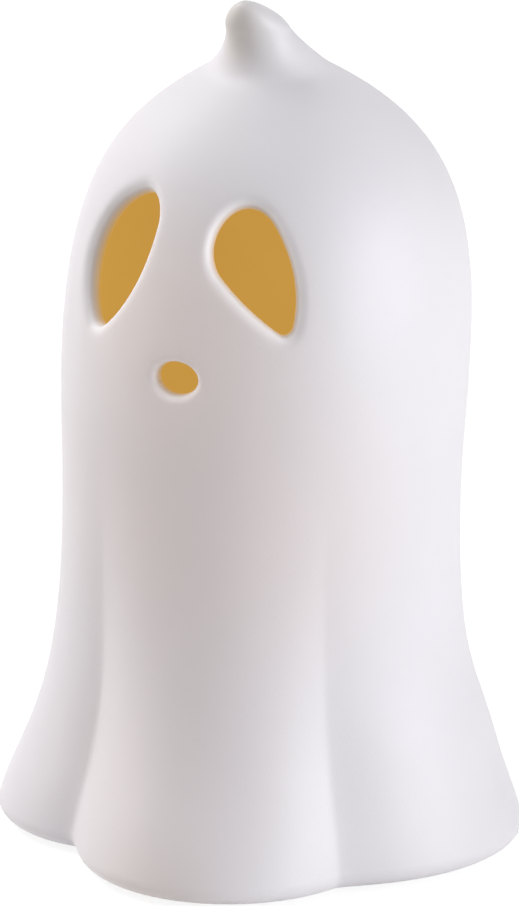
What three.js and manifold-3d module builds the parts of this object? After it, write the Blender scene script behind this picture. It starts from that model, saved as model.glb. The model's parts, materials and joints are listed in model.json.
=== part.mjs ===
// A light-up ghost for a shelf or a window sill: a hollow, slip-cast ceramic ghost with cut-out eyes
// and mouth, and a round battery light that plugs into its underside.
// Millimetres, +Z up. The ghost's face looks along -Y. The origin is on the table, under its middle.
import * as THREE from "three";
import { mergeVertices } from "three/addons/utils/BufferGeometryUtils.js";
import Module from "manifold-3d";

const wasm = await Module();
wasm.setup();

// Clearances
const SEAT_GAP = 0.3; // between two rigid pieces that seat on each other
const THROUGH = 1; // how far a cutter runs past the face that it cuts

// Ceramic ghost, measured from its foot
const WALL = 4.2;
const HEM_RADIUS = 61.5;
const HEM_EDGE_RADIUS = 3;
const HEM_UPRIGHT = 16.9; // how far the skirt rises nearly upright from its hem
const HEM_DRAW_IN = 4.9; // how far it draws in over that height
const HEM_EDGE_TURN = 70; // degrees of the round under edge, before the flat foot
const FLARE_HEIGHT = 50.2; // how far below the waist the flare starts to bite
const WAIST_RADIUS = 45.8;
const WAIST_HEIGHT = 78;
const HEAD_RADIUS = 46.7;
const HEAD_HEIGHT = 114.8;
const DOME_HEIGHT = 64; // from the head's widest place up to the shoulder under the peak
const DOME_UPRIGHT = 37.3; // how far the head's side rises nearly upright
const SHOULDER_RADIUS = 15.1;
const SHOULDER_SLOPE = 0.588;
const SHOULDER_REACH = 25.2; // how far down the dome the shoulder's slope is felt
const PEAK_RADIUS = 7.3;
const PEAK_NECK_HEIGHT = 10.9; // from the shoulder up to the start of the tip
const PEAK_TIP_HEIGHT = 7.5;
const PEAK_CURL = 8.5; // how far the tip leans over the face
const PEAK_CURL_POWER = 1.48;
const TIP_FLAT_RADIUS = 0.6; // the blunt end of the peak
const HEAD_SET_BACK = 4.6;
const SET_BACK_HEIGHT = 38.4; // above the head's widest place
const SET_BACK_REACH = 45; // how far below and above that height the set back fades out

// How far the outline's curves lean on their handles, as shares of the stretches that they span
const WAIST_EASE = 0.49;
const PEAK_EASE = { slope: 0.43, neckOut: 1.1, neckDown: 0.3, tipOut: 0.95, tipUp: 0.5, tipFlat: 0.33 };
const OUTLINE_STEPS = [9, 4, 10, 4, 4];

// Folds of the sheet: the valleys between the four lobes. Their angles run from the face towards +X.
const VALLEYS = [
  { hem: -34.6, top: -21.6, depth: 13.1 },
  { hem: 48, top: 46.4, depth: 9 },
  { hem: 142, top: 140, depth: 8.5 },
  { hem: 223, top: 221, depth: 8.5 },
];
const RIDGE_SKEW = [1.22, 1.29, 1, 1.25]; // above 1, a lobe's ridge sits nearer its far valley
const FOLD_HEIGHT = 132;
const FOLD_HOLD = 1.24; // above 1, a fold stays deep over the hem before it fades
const FOLD_FADE = 2.83;
const LOBE_FULLNESS = 0.75; // below 1, a lobe is broader and its valleys are narrower
const CREASE_SOFTNESS = 0.18;
const SWELL_LOBE = 1; // the lobe that bellies out a little above its hem
const SWELL = { out: 1.7, height: 27.3, reach: 12.2 };

// Eyes: a large round above a small one, joined by two wide arcs. inner is the radius of the arc next to the
// middle of the face. Heights count from the head's widest place.
const EYES = [
  {
    side: 1,
    upper: { out: 16.1, up: 33.2, radius: 9.1 },
    lower: { out: 26.1, up: 16.5, radius: 2.3 },
    inner: 105.9,
    outer: 29,
  },
  {
    side: -1,
    upper: { out: 16.6, up: 36, radius: 6.7 },
    lower: { out: 24.7, up: 14, radius: 3.4 },
    inner: 32.8,
    outer: 18.8,
  },
];
const EYE_RIM_RADIUS = 3;
const MOUTH = { out: 0.9, up: 3.1, halfWidth: 5.4, halfHeight: 3.8 };
const MOUTH_RIM_RADIUS = 2;

// Underside of the ghost, and the pads that it stands on
const RECESS_DEPTH = 5;
const FLOOR_THICKNESS = 5;
const PAD_HEIGHT = 1.5;
const PAD_RADIUS = 4.5;

// Battery cells, size AAA
const CELL_RADIUS = 5.25;
const CELL_LENGTH = 44.5;
const CELL_NUB_RADIUS = 1.9;
const CELL_NUB_HEIGHT = 0.9;
const CELL_BEVEL = 0.5;
const CELL_COUNT = 3;
const CELL_SIDE_GAP = 0.4;
const CELL_DOOR_GAP = 0.5;

// Battery contacts
const CONTACT_THICKNESS = 0.4;
const CONTACT_HEIGHT = 8.5;
const CONTACT_WIDTH = 8;
const TAB_WIDTH = 4;
const TAB_RISE = 2.6; // above the bay's roof
const SPRING_LENGTH = 6.1;
const SPRING_WIRE = 0.8;
const SPRING_BASE_RADIUS = 3.9;
const SPRING_TIP_RADIUS = 2.5;
const SPRING_TURNS = 3.5;

// Housing of the light: a flange, a battery bay and a skirt in one moulding
const FLANGE_THICKNESS = 3.2;
const FLANGE_OVERLAP = 4.5; // beyond the ghost's opening
const FLANGE_CLEARANCE = 0.8;
const NOTCH_RADIUS = 9;
const NOTCH_DEPTH = 3; // of the finger notches in the flange's edge
const BAY_WALL = 1.2;
const BAY_ROOF = 1.4;
const SKIRT_WALL = 1.8;
const SKIRT_CLEARANCE = 1;
const SKIRT_HEADROOM = 4.8; // above the board, for the wires and the lamp's leads
const POST_RADIUS = 3;
const POST_WIRE_WAY = 4.2; // between a post and the skirt
const POST_ANGLES = [45, 135, 270];

// Rubber grip ring in the ghost's opening
const GRIP_THICKNESS = 3;
const GRIP_HEIGHT = 7;
const GRIP_LIP = 1.1;
const GRIP_LIPS = 2;
const GRIP_LIP_ROOT = 2.5; // the lip's width where it leaves the sleeve
const GRIP_LIP_CREST = 0.7;

// Battery door
const DOOR_THICKNESS = 1.6;
const DOOR_LAP = 1.2; // beyond the bay on each side
const DOOR_BARREL_RADIUS = 1.1;
const DOOR_HINGE_HEIGHT = 1.4; // from the flange's underside
const DOOR_PIN_RADIUS = 0.7;
const DOOR_PIN_LENGTH = 1.4;
const DOOR_PIN_ENTRY = 1.1; // narrower than the pin, which snaps through it
const LATCH_WIDTH = 9;
const LATCH_LENGTH = 8;
const LATCH_SLIT = 0.8;
const LATCH_NOSE = 0.7;
const LATCH_RIDGES = 3;
const LATCH_RIDGE_WIDTH = 0.6;

// Cover with the light's collar, and the dome over it
const COVER_THICKNESS = 1.8;
const COVER_LIP_DEPTH = 3;
const COVER_LIP_WALL = 1.2;
const COLLAR_WALL = 2.4;
const COLLAR_HEIGHT = 3;
const DOME_RADIUS = 14;
const DOME_WALL = 1.2;
const DOME_SIDE_HEIGHT = 6;
const LOCATING_RING_HEIGHT = 1.5;
const LOCATING_RING_WALL = 1.6;

// Lamp, a 5 mm light-emitting diode
const LAMP_RADIUS = 2.5;
const LAMP_BODY_HEIGHT = 5.4;
const LAMP_RIM_RADIUS = 2.9;
const LAMP_RIM_HEIGHT = 1;
const LAMP_HOLE_CLEARANCE = 0.4;
const LEAD_WIDTH = 0.5;
const LEAD_SPACING = 2.54;
const LEAD_TAIL = 0.8; // under the board

// Circuit board
const BOARD_LENGTH = 30;
const BOARD_WIDTH = 24;
const BOARD_THICKNESS = 1.2;
const BOARD_STANDOFF = 2;
const BOARD_HOLE_INSET = 2.5;
const CHIP_RADIUS = 4;
const CHIP_HEIGHT = 1.6;
const RESISTOR_LENGTH = 6;
const RESISTOR_RADIUS = 1.15;
const RESISTOR_PLACE = [0, -7];
const CHIP_PLACE = [8.5, -1];

// Screws
const COVER_SCREW = { headRadius: 2.3, headHeight: 1.5, shankRadius: 1.1, length: 9 };
const BOARD_SCREW = { headRadius: 1.9, headHeight: 1.1, shankRadius: 0.8, length: 4 };

// Slide switch: off in the middle, on at one end and timed at the other
const SWITCH_LENGTH = 8.6;
const SWITCH_WIDTH = 4.2;
const SWITCH_HEIGHT = 3.7;
const SWITCH_BAY_DISTANCE = 6.3; // from the battery bay's wall to the switch's middle
const SWITCH_TRAVEL = 4;
const SWITCH_PIN_SPACING = 2.5;
const SWITCH_PIN_HEIGHT = 1.5;
const SWITCH_PIN_WIDTH = 0.8;
const SWITCH_PIN_THICKNESS = 0.4;
const KNOB_LENGTH = 4.6;
const KNOB_WIDTH = 4;
const KNOB_PROUD = 1;
const KNOB_POCKET = 1.2;
const KNOB_GROOVES = 3;
const KNOB_GROOVE_WIDTH = 0.5;
const STEM_LENGTH = 2;
const STEM_WIDTH = 1.6;
const STEM_ENTRY = 1.3; // into the switch

// Wires
const WIRE_RADIUS = 0.6;
const WIRE_LIFT = 2; // how far a wire runs straight out of what it is soldered to
const WIRE_SKIRT_GAP = 1.2;
const WIRE_ARCH = 3.4; // how high the wires pass over the board
// Where each wire is soldered to the board and where it bends, seen from above and chosen by hand
const PLUS_WIRE = { tabOut: 3, tabDown: 4, rise: 0.8, switchOut: 9, past: 1 };
const PLUS_WIRE_ANGLES = [174, 160, 146, 130]; // round the skirt, in degrees
const SWITCHED_WIRE = { wallX: -3.2, bendX: -7.5, boardX: -8 };
const TIMER_WIRE = { wallX: 4.2, bendX: 4.8, boardX: 4.6 };
const SIGNAL_WIRES = { past: 1, bendY: 10, boardY: 6.5 };
const MINUS_WIRE = { tabX: 20, tabY: 7.5, bendX: 15.5, bendY: 4.6, boardX: 12.6, boardY: 4 };

// Smoothness of round pieces
const OUTSIDE_LOBE_STEPS = 13;
const INSIDE_LOBE_STEPS = 8;
const HEM_EDGE_STEPS = 3;
const RIM_STEPS = 3;
const EYE_SMALL_STEPS = 5;
const EYE_SIDE_STEPS = 5;
const EYE_LARGE_STEPS = 11;
const MOUTH_STEPS = 18;
const DOME_STEPS = 32;
const DOME_CROWN_STEPS = 6;
const LENS_CROWN_STEPS = 5;
const SCREW_STEPS = 12;
const SPRING_STEPS_PER_TURN = 8;
const SPRING_SIDES = 5;
const WIRE_SIDES = 8;
const ROUND_STEPS = 48;
const SMALL_ROUND_STEPS = 20;

// Places that follow from the sizes above. Heights in the light unit count from the flange's underside.
const shoulderHeight = HEAD_HEIGHT + DOME_HEIGHT;
const neckHeight = shoulderHeight + PEAK_NECK_HEIGHT;
const ghostHeight = neckHeight + PEAK_TIP_HEIGHT;
const cellPitch = 2 * CELL_RADIUS + SEAT_GAP;
const bayLength = CELL_LENGTH + SPRING_LENGTH + 2 * CONTACT_THICKNESS + 5 * SEAT_GAP;
const bayWidth = CELL_COUNT * cellPitch + 2 * CELL_SIDE_GAP;
const cellHeight = DOOR_THICKNESS + CELL_DOOR_GAP + CELL_RADIUS;
const roofUnderside = cellHeight + CELL_RADIUS + CELL_DOOR_GAP;
const roofTop = roofUnderside + BAY_ROOF;
const skirtRadius = Math.hypot(bayLength / 2, bayWidth / 2) + SKIRT_CLEARANCE + SKIRT_WALL;
const skirtInside = skirtRadius - SKIRT_WALL;
const openingRadius = skirtRadius + GRIP_THICKNESS;
const flangeRadius = openingRadius + FLANGE_OVERLAP;
const recessRadius = flangeRadius + FLANGE_CLEARANCE;
const unitHeight = RECESS_DEPTH - SEAT_GAP - FLANGE_THICKNESS; // the flange's underside above the foot
const troughReach = DOOR_HINGE_HEIGHT + SEAT_GAP;
const hingeX = -(bayLength / 2 + BAY_WALL + troughReach);
const doorEnd = bayLength / 2 + DOOR_LAP;
const doorWidth = bayWidth + 2 * DOOR_LAP;
const boardHeight = roofTop + BOARD_STANDOFF;
const boardTop = boardHeight + BOARD_THICKNESS;
const skirtHeight = boardTop + SKIRT_HEADROOM;
const coverHeight = skirtHeight + SEAT_GAP;
const coverTop = coverHeight + COVER_THICKNESS;
const lampHoleRadius = LAMP_RIM_RADIUS + LAMP_HOLE_CLEARANCE;
const switchY = bayWidth / 2 + BAY_WALL + SWITCH_BAY_DISTANCE;
const switchHeight = FLANGE_THICKNESS + SEAT_GAP;
const switchTop = switchHeight + SWITCH_HEIGHT;

// Materials
function plain(color, roughness, metalness = 0) {
  return new THREE.MeshStandardMaterial({ color, roughness, metalness });
}

const CERAMIC = plain(0xf1eef0, 0.75);
const FELT = plain(0xd9d6d0, 0.95);
const WHITE_PLASTIC = plain(0xf0efea, 0.45);
const RUBBER = plain(0xc9c9c4, 0.8);
const DIFFUSER = plain(0xf6c25e, 0.5);
const LENS = plain(0xf2b23c, 0.15);
const CELL_JACKET = plain(0x4d6b57, 0.4);
const NICKEL = plain(0xc2c4c6, 0.3, 1);
const STEEL = plain(0x9c9fa3, 0.35, 1);
const BOARD_GREEN = plain(0x2c6b3f, 0.5);
const BLACK_EPOXY = plain(0x17181a, 0.4);
const RESISTOR_BODY = plain(0xd8bd8a, 0.5);
const BLACK_PLASTIC = plain(0x222326, 0.5);
const RED_WIRE = plain(0xb02a26, 0.45);
const BLACK_WIRE = plain(0x202124, 0.45);
const WHITE_WIRE = plain(0xe4e3df, 0.45);
const YELLOW_WIRE = plain(0xd9b13a, 0.45);

// A closed geometry as a solid that can be cut and joined.
function solidOf(geometry) {
  const bare = geometry.clone();
  bare.deleteAttribute("normal");
  bare.deleteAttribute("uv");
  const merged = mergeVertices(bare, 1e-4);
  return new wasm.Manifold(
    new wasm.Mesh({
      numProp: 3,
      vertProperties: merged.attributes.position.array,
      triVerts: new Uint32Array(merged.index.array),
    }),
  );
}

function meshOf(name, solid, material) {
  const made = solid.getMesh();
  const geometry = new THREE.BufferGeometry()
    .setAttribute("position", new THREE.BufferAttribute(made.vertProperties, 3))
    .setIndex(new THREE.BufferAttribute(made.triVerts, 1));
  geometry.computeVertexNormals();
  const mesh = new THREE.Mesh(geometry, material);
  mesh.name = name;
  return mesh;
}

const joined = (solids) => solids.reduce((whole, piece) => whole.add(piece));

// A box between two corners.
function box(low, high) {
  const size = high.map((value, i) => value - low[i]);
  const middle = high.map((value, i) => (value + low[i]) / 2);
  return solidOf(new THREE.BoxGeometry(...size).translate(...middle));
}

// An upright cylinder on a point.
function cylinder(radius, bottom, top, [x, y] = [0, 0], steps = SMALL_ROUND_STEPS) {
  const geometry = new THREE.CylinderGeometry(radius, radius, top - bottom, steps);
  return solidOf(geometry.rotateX(Math.PI / 2).translate(x, y, (top + bottom) / 2));
}

// A solid of revolution about Z, from [radius, height] pairs that run anticlockwise round the section.
function turned(section, steps = ROUND_STEPS) {
  const points = section.map(([radius, height]) => new THREE.Vector2(Math.max(radius, 0), height));
  return solidOf(new THREE.LatheGeometry(points, steps).rotateX(Math.PI / 2));
}

// A closed skin over rings that all have the same number of points, with a flat or pointed cap at both ends.
function skinOver(rings) {
  const count = rings[0].length;
  const corners = rings.flat();
  const middleOf = (ring) => ring.reduce((sum, p) => sum.add(p), new THREE.Vector3()).divideScalar(count);
  corners.push(middleOf(rings[0]), middleOf(rings.at(-1)));
  const index = [];
  for (let k = 0; k < count; k++) {
    const next = (k + 1) % count;
    index.push(corners.length - 2, next, k);
    index.push(corners.length - 1, corners.length - 2 - count + k, corners.length - 2 - count + next);
    for (let i = 0; i + 1 < rings.length; i++) {
      const low = i * count;
      const high = low + count;
      index.push(low + k, low + next, high + next, low + k, high + next, high + k);
    }
  }
  const geometry = new THREE.BufferGeometry().setFromPoints(corners);
  geometry.setIndex(index);
  return solidOf(geometry);
}

// The ghost's outline from the hem up to the tip of its peak, as [radius, height] points.
function ghostOutline() {
  const path = new THREE.Path();
  const waistHandle = (HEAD_HEIGHT - WAIST_HEIGHT) * WAIST_EASE;
  const uphill = new THREE.Vector2(-1, SHOULDER_SLOPE).normalize();
  const shoulder = new THREE.Vector2(SHOULDER_RADIUS, shoulderHeight);
  const below = shoulder.clone().addScaledVector(uphill, -SHOULDER_REACH);
  const above = shoulder.clone().addScaledVector(uphill, (SHOULDER_RADIUS - PEAK_RADIUS) * PEAK_EASE.slope);
  const waist = [WAIST_RADIUS, WAIST_HEIGHT];
  const head = [HEAD_RADIUS, HEAD_HEIGHT];
  const neck = [PEAK_RADIUS, neckHeight];
  path.moveTo(HEM_RADIUS, HEM_EDGE_RADIUS);
  path.bezierCurveTo(
    ...[HEM_RADIUS - HEM_DRAW_IN, HEM_EDGE_RADIUS + HEM_UPRIGHT],
    ...[WAIST_RADIUS, WAIST_HEIGHT - FLARE_HEIGHT],
    ...waist,
  );
  path.bezierCurveTo(
    ...[WAIST_RADIUS, WAIST_HEIGHT + waistHandle],
    ...[HEAD_RADIUS, HEAD_HEIGHT - waistHandle],
    ...head,
  );
  path.bezierCurveTo(...[HEAD_RADIUS, HEAD_HEIGHT + DOME_UPRIGHT], ...below, ...shoulder);
  path.bezierCurveTo(
    ...above,
    ...[PEAK_RADIUS * PEAK_EASE.neckOut, neckHeight - PEAK_NECK_HEIGHT * PEAK_EASE.neckDown],
    ...neck,
  );
  path.bezierCurveTo(
    ...[PEAK_RADIUS * PEAK_EASE.tipOut, neckHeight + PEAK_TIP_HEIGHT * PEAK_EASE.tipUp],
    ...[PEAK_RADIUS * PEAK_EASE.tipFlat, ghostHeight],
    ...[TIP_FLAT_RADIUS, ghostHeight],
  );
  const points = path.curves.flatMap((curve, i) => curve.getPoints(OUTLINE_STEPS[i]).slice(i ? 1 : 0));
  return points.map((p) => [p.x, p.y]);
}

const OUTLINE = ghostOutline();

function outlineRadiusAt(height) {
  const above = OUTLINE.findIndex(([, z]) => z >= height);
  if (above <= 0) return OUTLINE.at(above)[0];
  const [lowRadius, low] = OUTLINE[above - 1];
  const [highRadius, high] = OUTLINE[above];
  return THREE.MathUtils.mapLinear(height, low, high, lowRadius, highRadius);
}

// The middle of the ghost at a height: the head is set back a little, and the peak curls forwards.
function middleAt(height) {
  const away = (height - HEAD_HEIGHT - SET_BACK_HEIGHT) / SET_BACK_REACH;
  const back = HEAD_SET_BACK * Math.exp(-(away ** 2));
  const up = THREE.MathUtils.clamp((height - shoulderHeight) / (ghostHeight - shoulderHeight), 0, 1);
  return back - (PEAK_CURL + back) * up ** PEAK_CURL_POWER;
}

// A point of a level ring: an angle from the face towards +X, and a distance from the ghost's middle.
function pointAround(angle, radius, height) {
  return new THREE.Vector3(radius * Math.sin(angle), middleAt(height) - radius * Math.cos(angle), height);
}

// One level ring of the ghost's skin, whose points follow the folds of the sheet.
function ghostRing(radius, height, stepsPerLobe) {
  const rise = Math.min(height / FOLD_HEIGHT, 1);
  const fade = (1 - rise ** FOLD_HOLD) ** FOLD_FADE;
  const ring = [];
  VALLEYS.forEach((from, lobe) => {
    const last = lobe === VALLEYS.length - 1;
    const to = VALLEYS[last ? 0 : lobe + 1];
    const start = THREE.MathUtils.lerp(from.hem, from.top, rise);
    const end = THREE.MathUtils.lerp(to.hem, to.top, rise) + (last ? 360 : 0);
    const swelling = SWELL.out * Math.exp(-(((height - SWELL.height) / SWELL.reach) ** 2));
    const swell = lobe === SWELL_LOBE ? swelling : 0;
    for (let k = 0; k < stepsPerLobe; k++) {
      const share = k / stepsPerLobe;
      const wave = Math.sin(Math.PI * share ** RIDGE_SKEW[lobe]) ** LOBE_FULLNESS;
      const lift =
        (Math.hypot(wave, CREASE_SOFTNESS) - CREASE_SOFTNESS) /
        (Math.hypot(1, CREASE_SOFTNESS) - CREASE_SOFTNESS);
      const depth = THREE.MathUtils.lerp(from.depth, to.depth, share) * fade;
      const angle = THREE.MathUtils.degToRad(THREE.MathUtils.lerp(start, end, share));
      ring.push(pointAround(angle, radius - depth * (1 - lift) + swell * lift, height));
    }
  });
  return ring;
}

function ghostOutside() {
  const edge = Array.from({ length: HEM_EDGE_STEPS + 1 }, (_, k) => {
    const angle = THREE.MathUtils.degToRad((HEM_EDGE_TURN * k) / HEM_EDGE_STEPS);
    return [HEM_RADIUS - HEM_EDGE_RADIUS * (1 - Math.sin(angle)), HEM_EDGE_RADIUS * (1 - Math.cos(angle))];
  });
  const levels = [...edge, ...OUTLINE];
  return skinOver(levels.map(([radius, height]) => ghostRing(radius, height, OUTSIDE_LOBE_STEPS)));
}

// The hollow inside: the outline, one wall inwards, from the floor up to just under the peak.
function ghostHollow() {
  const floor = RECESS_DEPTH + FLOOR_THICKNESS;
  const levels = [[outlineRadiusAt(floor) - WALL, floor]];
  for (let i = 1; OUTLINE[i][1] <= shoulderHeight; i++) {
    const [lowRadius, low] = OUTLINE[i - 1];
    const [highRadius, high] = OUTLINE[i + 1];
    const along = new THREE.Vector2(highRadius - lowRadius, high - low).normalize();
    const [radius, height] = OUTLINE[i];
    const inside = [radius - WALL * along.y, height + WALL * along.x];
    if (inside[1] > floor + WALL) levels.push(inside);
  }
  const [topRadius, topHeight] = levels.at(-1);
  levels.push([topRadius / 2, topHeight + WALL / 2]);
  return skinOver(levels.map(([radius, height]) => ghostRing(radius, height, INSIDE_LOBE_STEPS)));
}

// A cutter for a hole with a rounded rim, square to the ghost's wall. outlineOf gives the hole's outline,
// grown by a distance, as points of [distance round the head from the middle of the face, height].
function wallCutter(outlineOf, rim) {
  const levels = [{ depth: -WALL, grown: rim }];
  for (let k = 0; k <= RIM_STEPS; k++) {
    const angle = (Math.PI / 2) * (k / RIM_STEPS);
    levels.push({ depth: rim * (1 - Math.cos(angle)), grown: rim * (1 - Math.sin(angle)) });
  }
  levels.push({ depth: 2 * (WALL + THROUGH), grown: 0 });
  const rings = levels.map(({ depth, grown }) =>
    outlineOf(grown).map(([across, height]) => {
      const slope = (outlineRadiusAt(height + WALL) - outlineRadiusAt(height - WALL)) / (2 * WALL);
      const inwards = new THREE.Vector2(-1, slope).normalize().multiplyScalar(depth);
      return pointAround(across / HEAD_RADIUS, outlineRadiusAt(height) + inwards.x, height + inwards.y);
    }),
  );
  return skinOver(rings);
}

// An oval of four arcs that run into one another. side is 1 for the eye on +X, and -1 for the other.
function eyeOutline({ side, upper, lower, inner, outer }, grown) {
  const top = new THREE.Vector2(upper.out, upper.up);
  const bottom = new THREE.Vector2(lower.out, lower.up);
  const apart = top.distanceTo(bottom);
  const down = bottom.clone().sub(top).normalize();
  const across = new THREE.Vector2(-down.y, down.x);
  // The middle of the wide arc that touches both rounds from outside
  const wideMiddle = (radius, sign) => {
    const toTop = radius - upper.radius;
    const toBottom = radius - lower.radius;
    const along = (toTop ** 2 - toBottom ** 2 + apart ** 2) / (2 * apart);
    const aside = sign * Math.sqrt(toTop ** 2 - along ** 2);
    return top.clone().addScaledVector(down, along).addScaledVector(across, aside);
  };
  const arc = (middle, radius, start, end, steps) =>
    Array.from({ length: steps }, (_, k) => {
      const turn = THREE.MathUtils.euclideanModulo(end - start, 2 * Math.PI);
      const angle = start + (turn * k) / steps;
      return [
        side * (middle.x + (radius + grown) * Math.cos(angle)),
        HEAD_HEIGHT + middle.y + (radius + grown) * Math.sin(angle),
      ];
    });
  const innerMiddle = wideMiddle(inner, 1);
  const outerMiddle = wideMiddle(outer, -1);
  const towards = (from, to) => to.clone().sub(from).angle();
  const points = [
    ...arc(innerMiddle, inner, towards(innerMiddle, top), towards(innerMiddle, bottom), EYE_SIDE_STEPS),
    ...arc(bottom, lower.radius, towards(innerMiddle, bottom), towards(outerMiddle, bottom), EYE_SMALL_STEPS),
    ...arc(outerMiddle, outer, towards(outerMiddle, bottom), towards(outerMiddle, top), EYE_SIDE_STEPS),
    ...arc(top, upper.radius, towards(outerMiddle, top), towards(innerMiddle, top), EYE_LARGE_STEPS),
  ];
  return side > 0 ? points.reverse() : points;
}

function mouthOutline(grown) {
  return Array.from({ length: MOUTH_STEPS }, (_, k) => {
    const angle = (-2 * Math.PI * k) / MOUTH_STEPS;
    return [
      MOUTH.out + (MOUTH.halfWidth + grown) * Math.cos(angle),
      HEAD_HEIGHT + MOUTH.up + (MOUTH.halfHeight + grown) * Math.sin(angle),
    ];
  });
}

function ghostBody() {
  const floorTop = RECESS_DEPTH + FLOOR_THICKNESS;
  const recess = cylinder(recessRadius, -THROUGH, RECESS_DEPTH, [0, 0], ROUND_STEPS);
  const opening = cylinder(openingRadius, RECESS_DEPTH - THROUGH, floorTop + THROUGH, [0, 0], ROUND_STEPS);
  const eyes = EYES.map((eye) => wallCutter((grown) => eyeOutline(eye, grown), EYE_RIM_RADIUS));
  const mouth = wallCutter(mouthOutline, MOUTH_RIM_RADIUS);
  return ghostOutside().subtract(ghostHollow()).subtract(joined([recess, opening, ...eyes, mouth]));
}

function footPads() {
  const names = ["foot_pad_front", "foot_pad_right", "foot_pad_back", "foot_pad_left"];
  const solid = cylinder(PAD_RADIUS, 0, PAD_HEIGHT);
  return names.map((name, i) => {
    const next = VALLEYS[i + 1]?.hem ?? VALLEYS[0].hem + 360;
    const angle = THREE.MathUtils.degToRad((VALLEYS[i].hem + next) / 2);
    const reach = (recessRadius + HEM_RADIUS - HEM_EDGE_RADIUS) / 2;
    const pad = meshOf(name, solid, FELT);
    pad.position.set(reach * Math.sin(angle), -reach * Math.cos(angle), 0);
    return pad;
  });
}

// The rubber ring round the housing: a thin sleeve with lips that grip the ghost's opening.
function gripRing() {
  const inside = skirtRadius + SEAT_GAP;
  const outside = openingRadius - SEAT_GAP;
  const sleeve = outside - GRIP_LIP;
  const section = [[inside, 0], [sleeve, 0]];
  const lipPitch = GRIP_HEIGHT / GRIP_LIPS;
  for (let i = 0; i < GRIP_LIPS; i++) {
    const middle = (i + 0.5) * lipPitch;
    section.push(
      [sleeve, middle - GRIP_LIP_ROOT / 2],
      [outside, middle - GRIP_LIP_CREST / 2],
      [outside, middle + GRIP_LIP_CREST / 2],
      [sleeve, middle + GRIP_LIP_ROOT / 2],
    );
  }
  section.push([sleeve, GRIP_HEIGHT], [inside, GRIP_HEIGHT], [inside, 0]);
  return turned(section);
}

const postPlaces = POST_ANGLES.map((degrees) => {
  const angle = THREE.MathUtils.degToRad(degrees);
  const reach = skirtInside - POST_WIRE_WAY - POST_RADIUS;
  return [reach * Math.cos(angle), reach * Math.sin(angle)];
});
const boardScrewPlaces = [-1, 1].map((side) => [
  side * (BOARD_LENGTH / 2 - BOARD_HOLE_INSET),
  side * (BOARD_WIDTH / 2 - BOARD_HOLE_INSET),
]);

// The flange with the battery bay, the skirt, the posts and the standoffs, all one moulding.
function lightHousing() {
  const bayOuterX = bayLength / 2 + BAY_WALL;
  const bayOuterY = bayWidth / 2 + BAY_WALL;
  const flange = cylinder(flangeRadius, 0, FLANGE_THICKNESS, [0, 0], ROUND_STEPS);
  const skirt = cylinder(skirtRadius, 0, skirtHeight, [0, 0], ROUND_STEPS).subtract(
    cylinder(skirtInside, FLANGE_THICKNESS, skirtHeight + THROUGH, [0, 0], ROUND_STEPS),
  );
  const bay = box([-bayOuterX, -bayOuterY, 0], [bayOuterX, bayOuterY, roofTop]).intersect(
    cylinder(skirtRadius - SKIRT_WALL / 2, -THROUGH, skirtHeight, [0, 0], ROUND_STEPS),
  );
  const posts = postPlaces.map((place) => cylinder(POST_RADIUS, FLANGE_THICKNESS / 2, skirtHeight, place));
  const standoffs = boardScrewPlaces.map((place) =>
    cylinder(BOARD_SCREW.headRadius + SEAT_GAP, roofTop - BAY_ROOF / 2, boardHeight - SEAT_GAP, place),
  );
  const whole = joined([flange, skirt, bay, ...posts, ...standoffs]);

  const screwDepth = COVER_SCREW.length - COVER_THICKNESS + SEAT_GAP;
  const screwHoles = postPlaces.map((place) =>
    cylinder(COVER_SCREW.shankRadius + SEAT_GAP, skirtHeight - screwDepth, skirtHeight + THROUGH, place),
  );
  const boardHoles = boardScrewPlaces.map((place) =>
    cylinder(
      BOARD_SCREW.shankRadius + SEAT_GAP,
      boardTop - BOARD_SCREW.length - SEAT_GAP,
      boardHeight + THROUGH,
      place,
    ),
  );
  const cavity = box([-bayLength / 2, -bayWidth / 2, -THROUGH], [bayLength / 2, bayWidth / 2, roofUnderside]);
  const notchMiddle = flangeRadius + NOTCH_RADIUS - NOTCH_DEPTH;
  const notches = [-1, 1].map((side) =>
    cylinder(NOTCH_RADIUS, -THROUGH, FLANGE_THICKNESS + THROUGH, [0, side * notchMiddle]),
  );
  const recesses = [cavity, doorRecess(), switchRecess(), ...tabSlots(), ...notches];
  return whole.subtract(joined([...recesses, ...screwHoles, ...boardHoles]));
}

// The rebate that the door lies in, the trough for its barrel, the holes that its pins snap into, and the
// notch for its latch.
function doorRecess() {
  const halfWidth = doorWidth / 2 + SEAT_GAP;
  const rebateTop = DOOR_THICKNESS + SEAT_GAP;
  const rebate = box([hingeX, -halfWidth, -THROUGH], [doorEnd + SEAT_GAP, halfWidth, rebateTop]);
  const trough = box(
    [hingeX - troughReach, -halfWidth, -THROUGH],
    [hingeX + troughReach, halfWidth, DOOR_HINGE_HEIGHT + DOOR_BARREL_RADIUS + SEAT_GAP],
  );
  const pinReach = doorWidth / 2 + DOOR_PIN_LENGTH + SEAT_GAP;
  const pinRoom = alongY(DOOR_PIN_RADIUS + SEAT_GAP, -pinReach, pinReach, hingeX, DOOR_HINGE_HEIGHT);
  const pinEntry = box(
    [hingeX - DOOR_PIN_ENTRY / 2, -pinReach, -THROUGH],
    [hingeX + DOOR_PIN_ENTRY / 2, pinReach, DOOR_HINGE_HEIGHT],
  );
  const noseRoom = box(
    [doorEnd, -LATCH_WIDTH / 2 - SEAT_GAP, -THROUGH],
    [doorEnd + LATCH_NOSE + SEAT_GAP, LATCH_WIDTH / 2 + SEAT_GAP, rebateTop],
  );
  return joined([rebate, trough, pinRoom, pinEntry, noseRoom]);
}

// A cylinder along Y.
function alongY(radius, start, end, x, z, steps = SMALL_ROUND_STEPS) {
  const geometry = new THREE.CylinderGeometry(radius, radius, end - start, steps);
  return solidOf(geometry.translate(x, (start + end) / 2, z));
}

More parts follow.
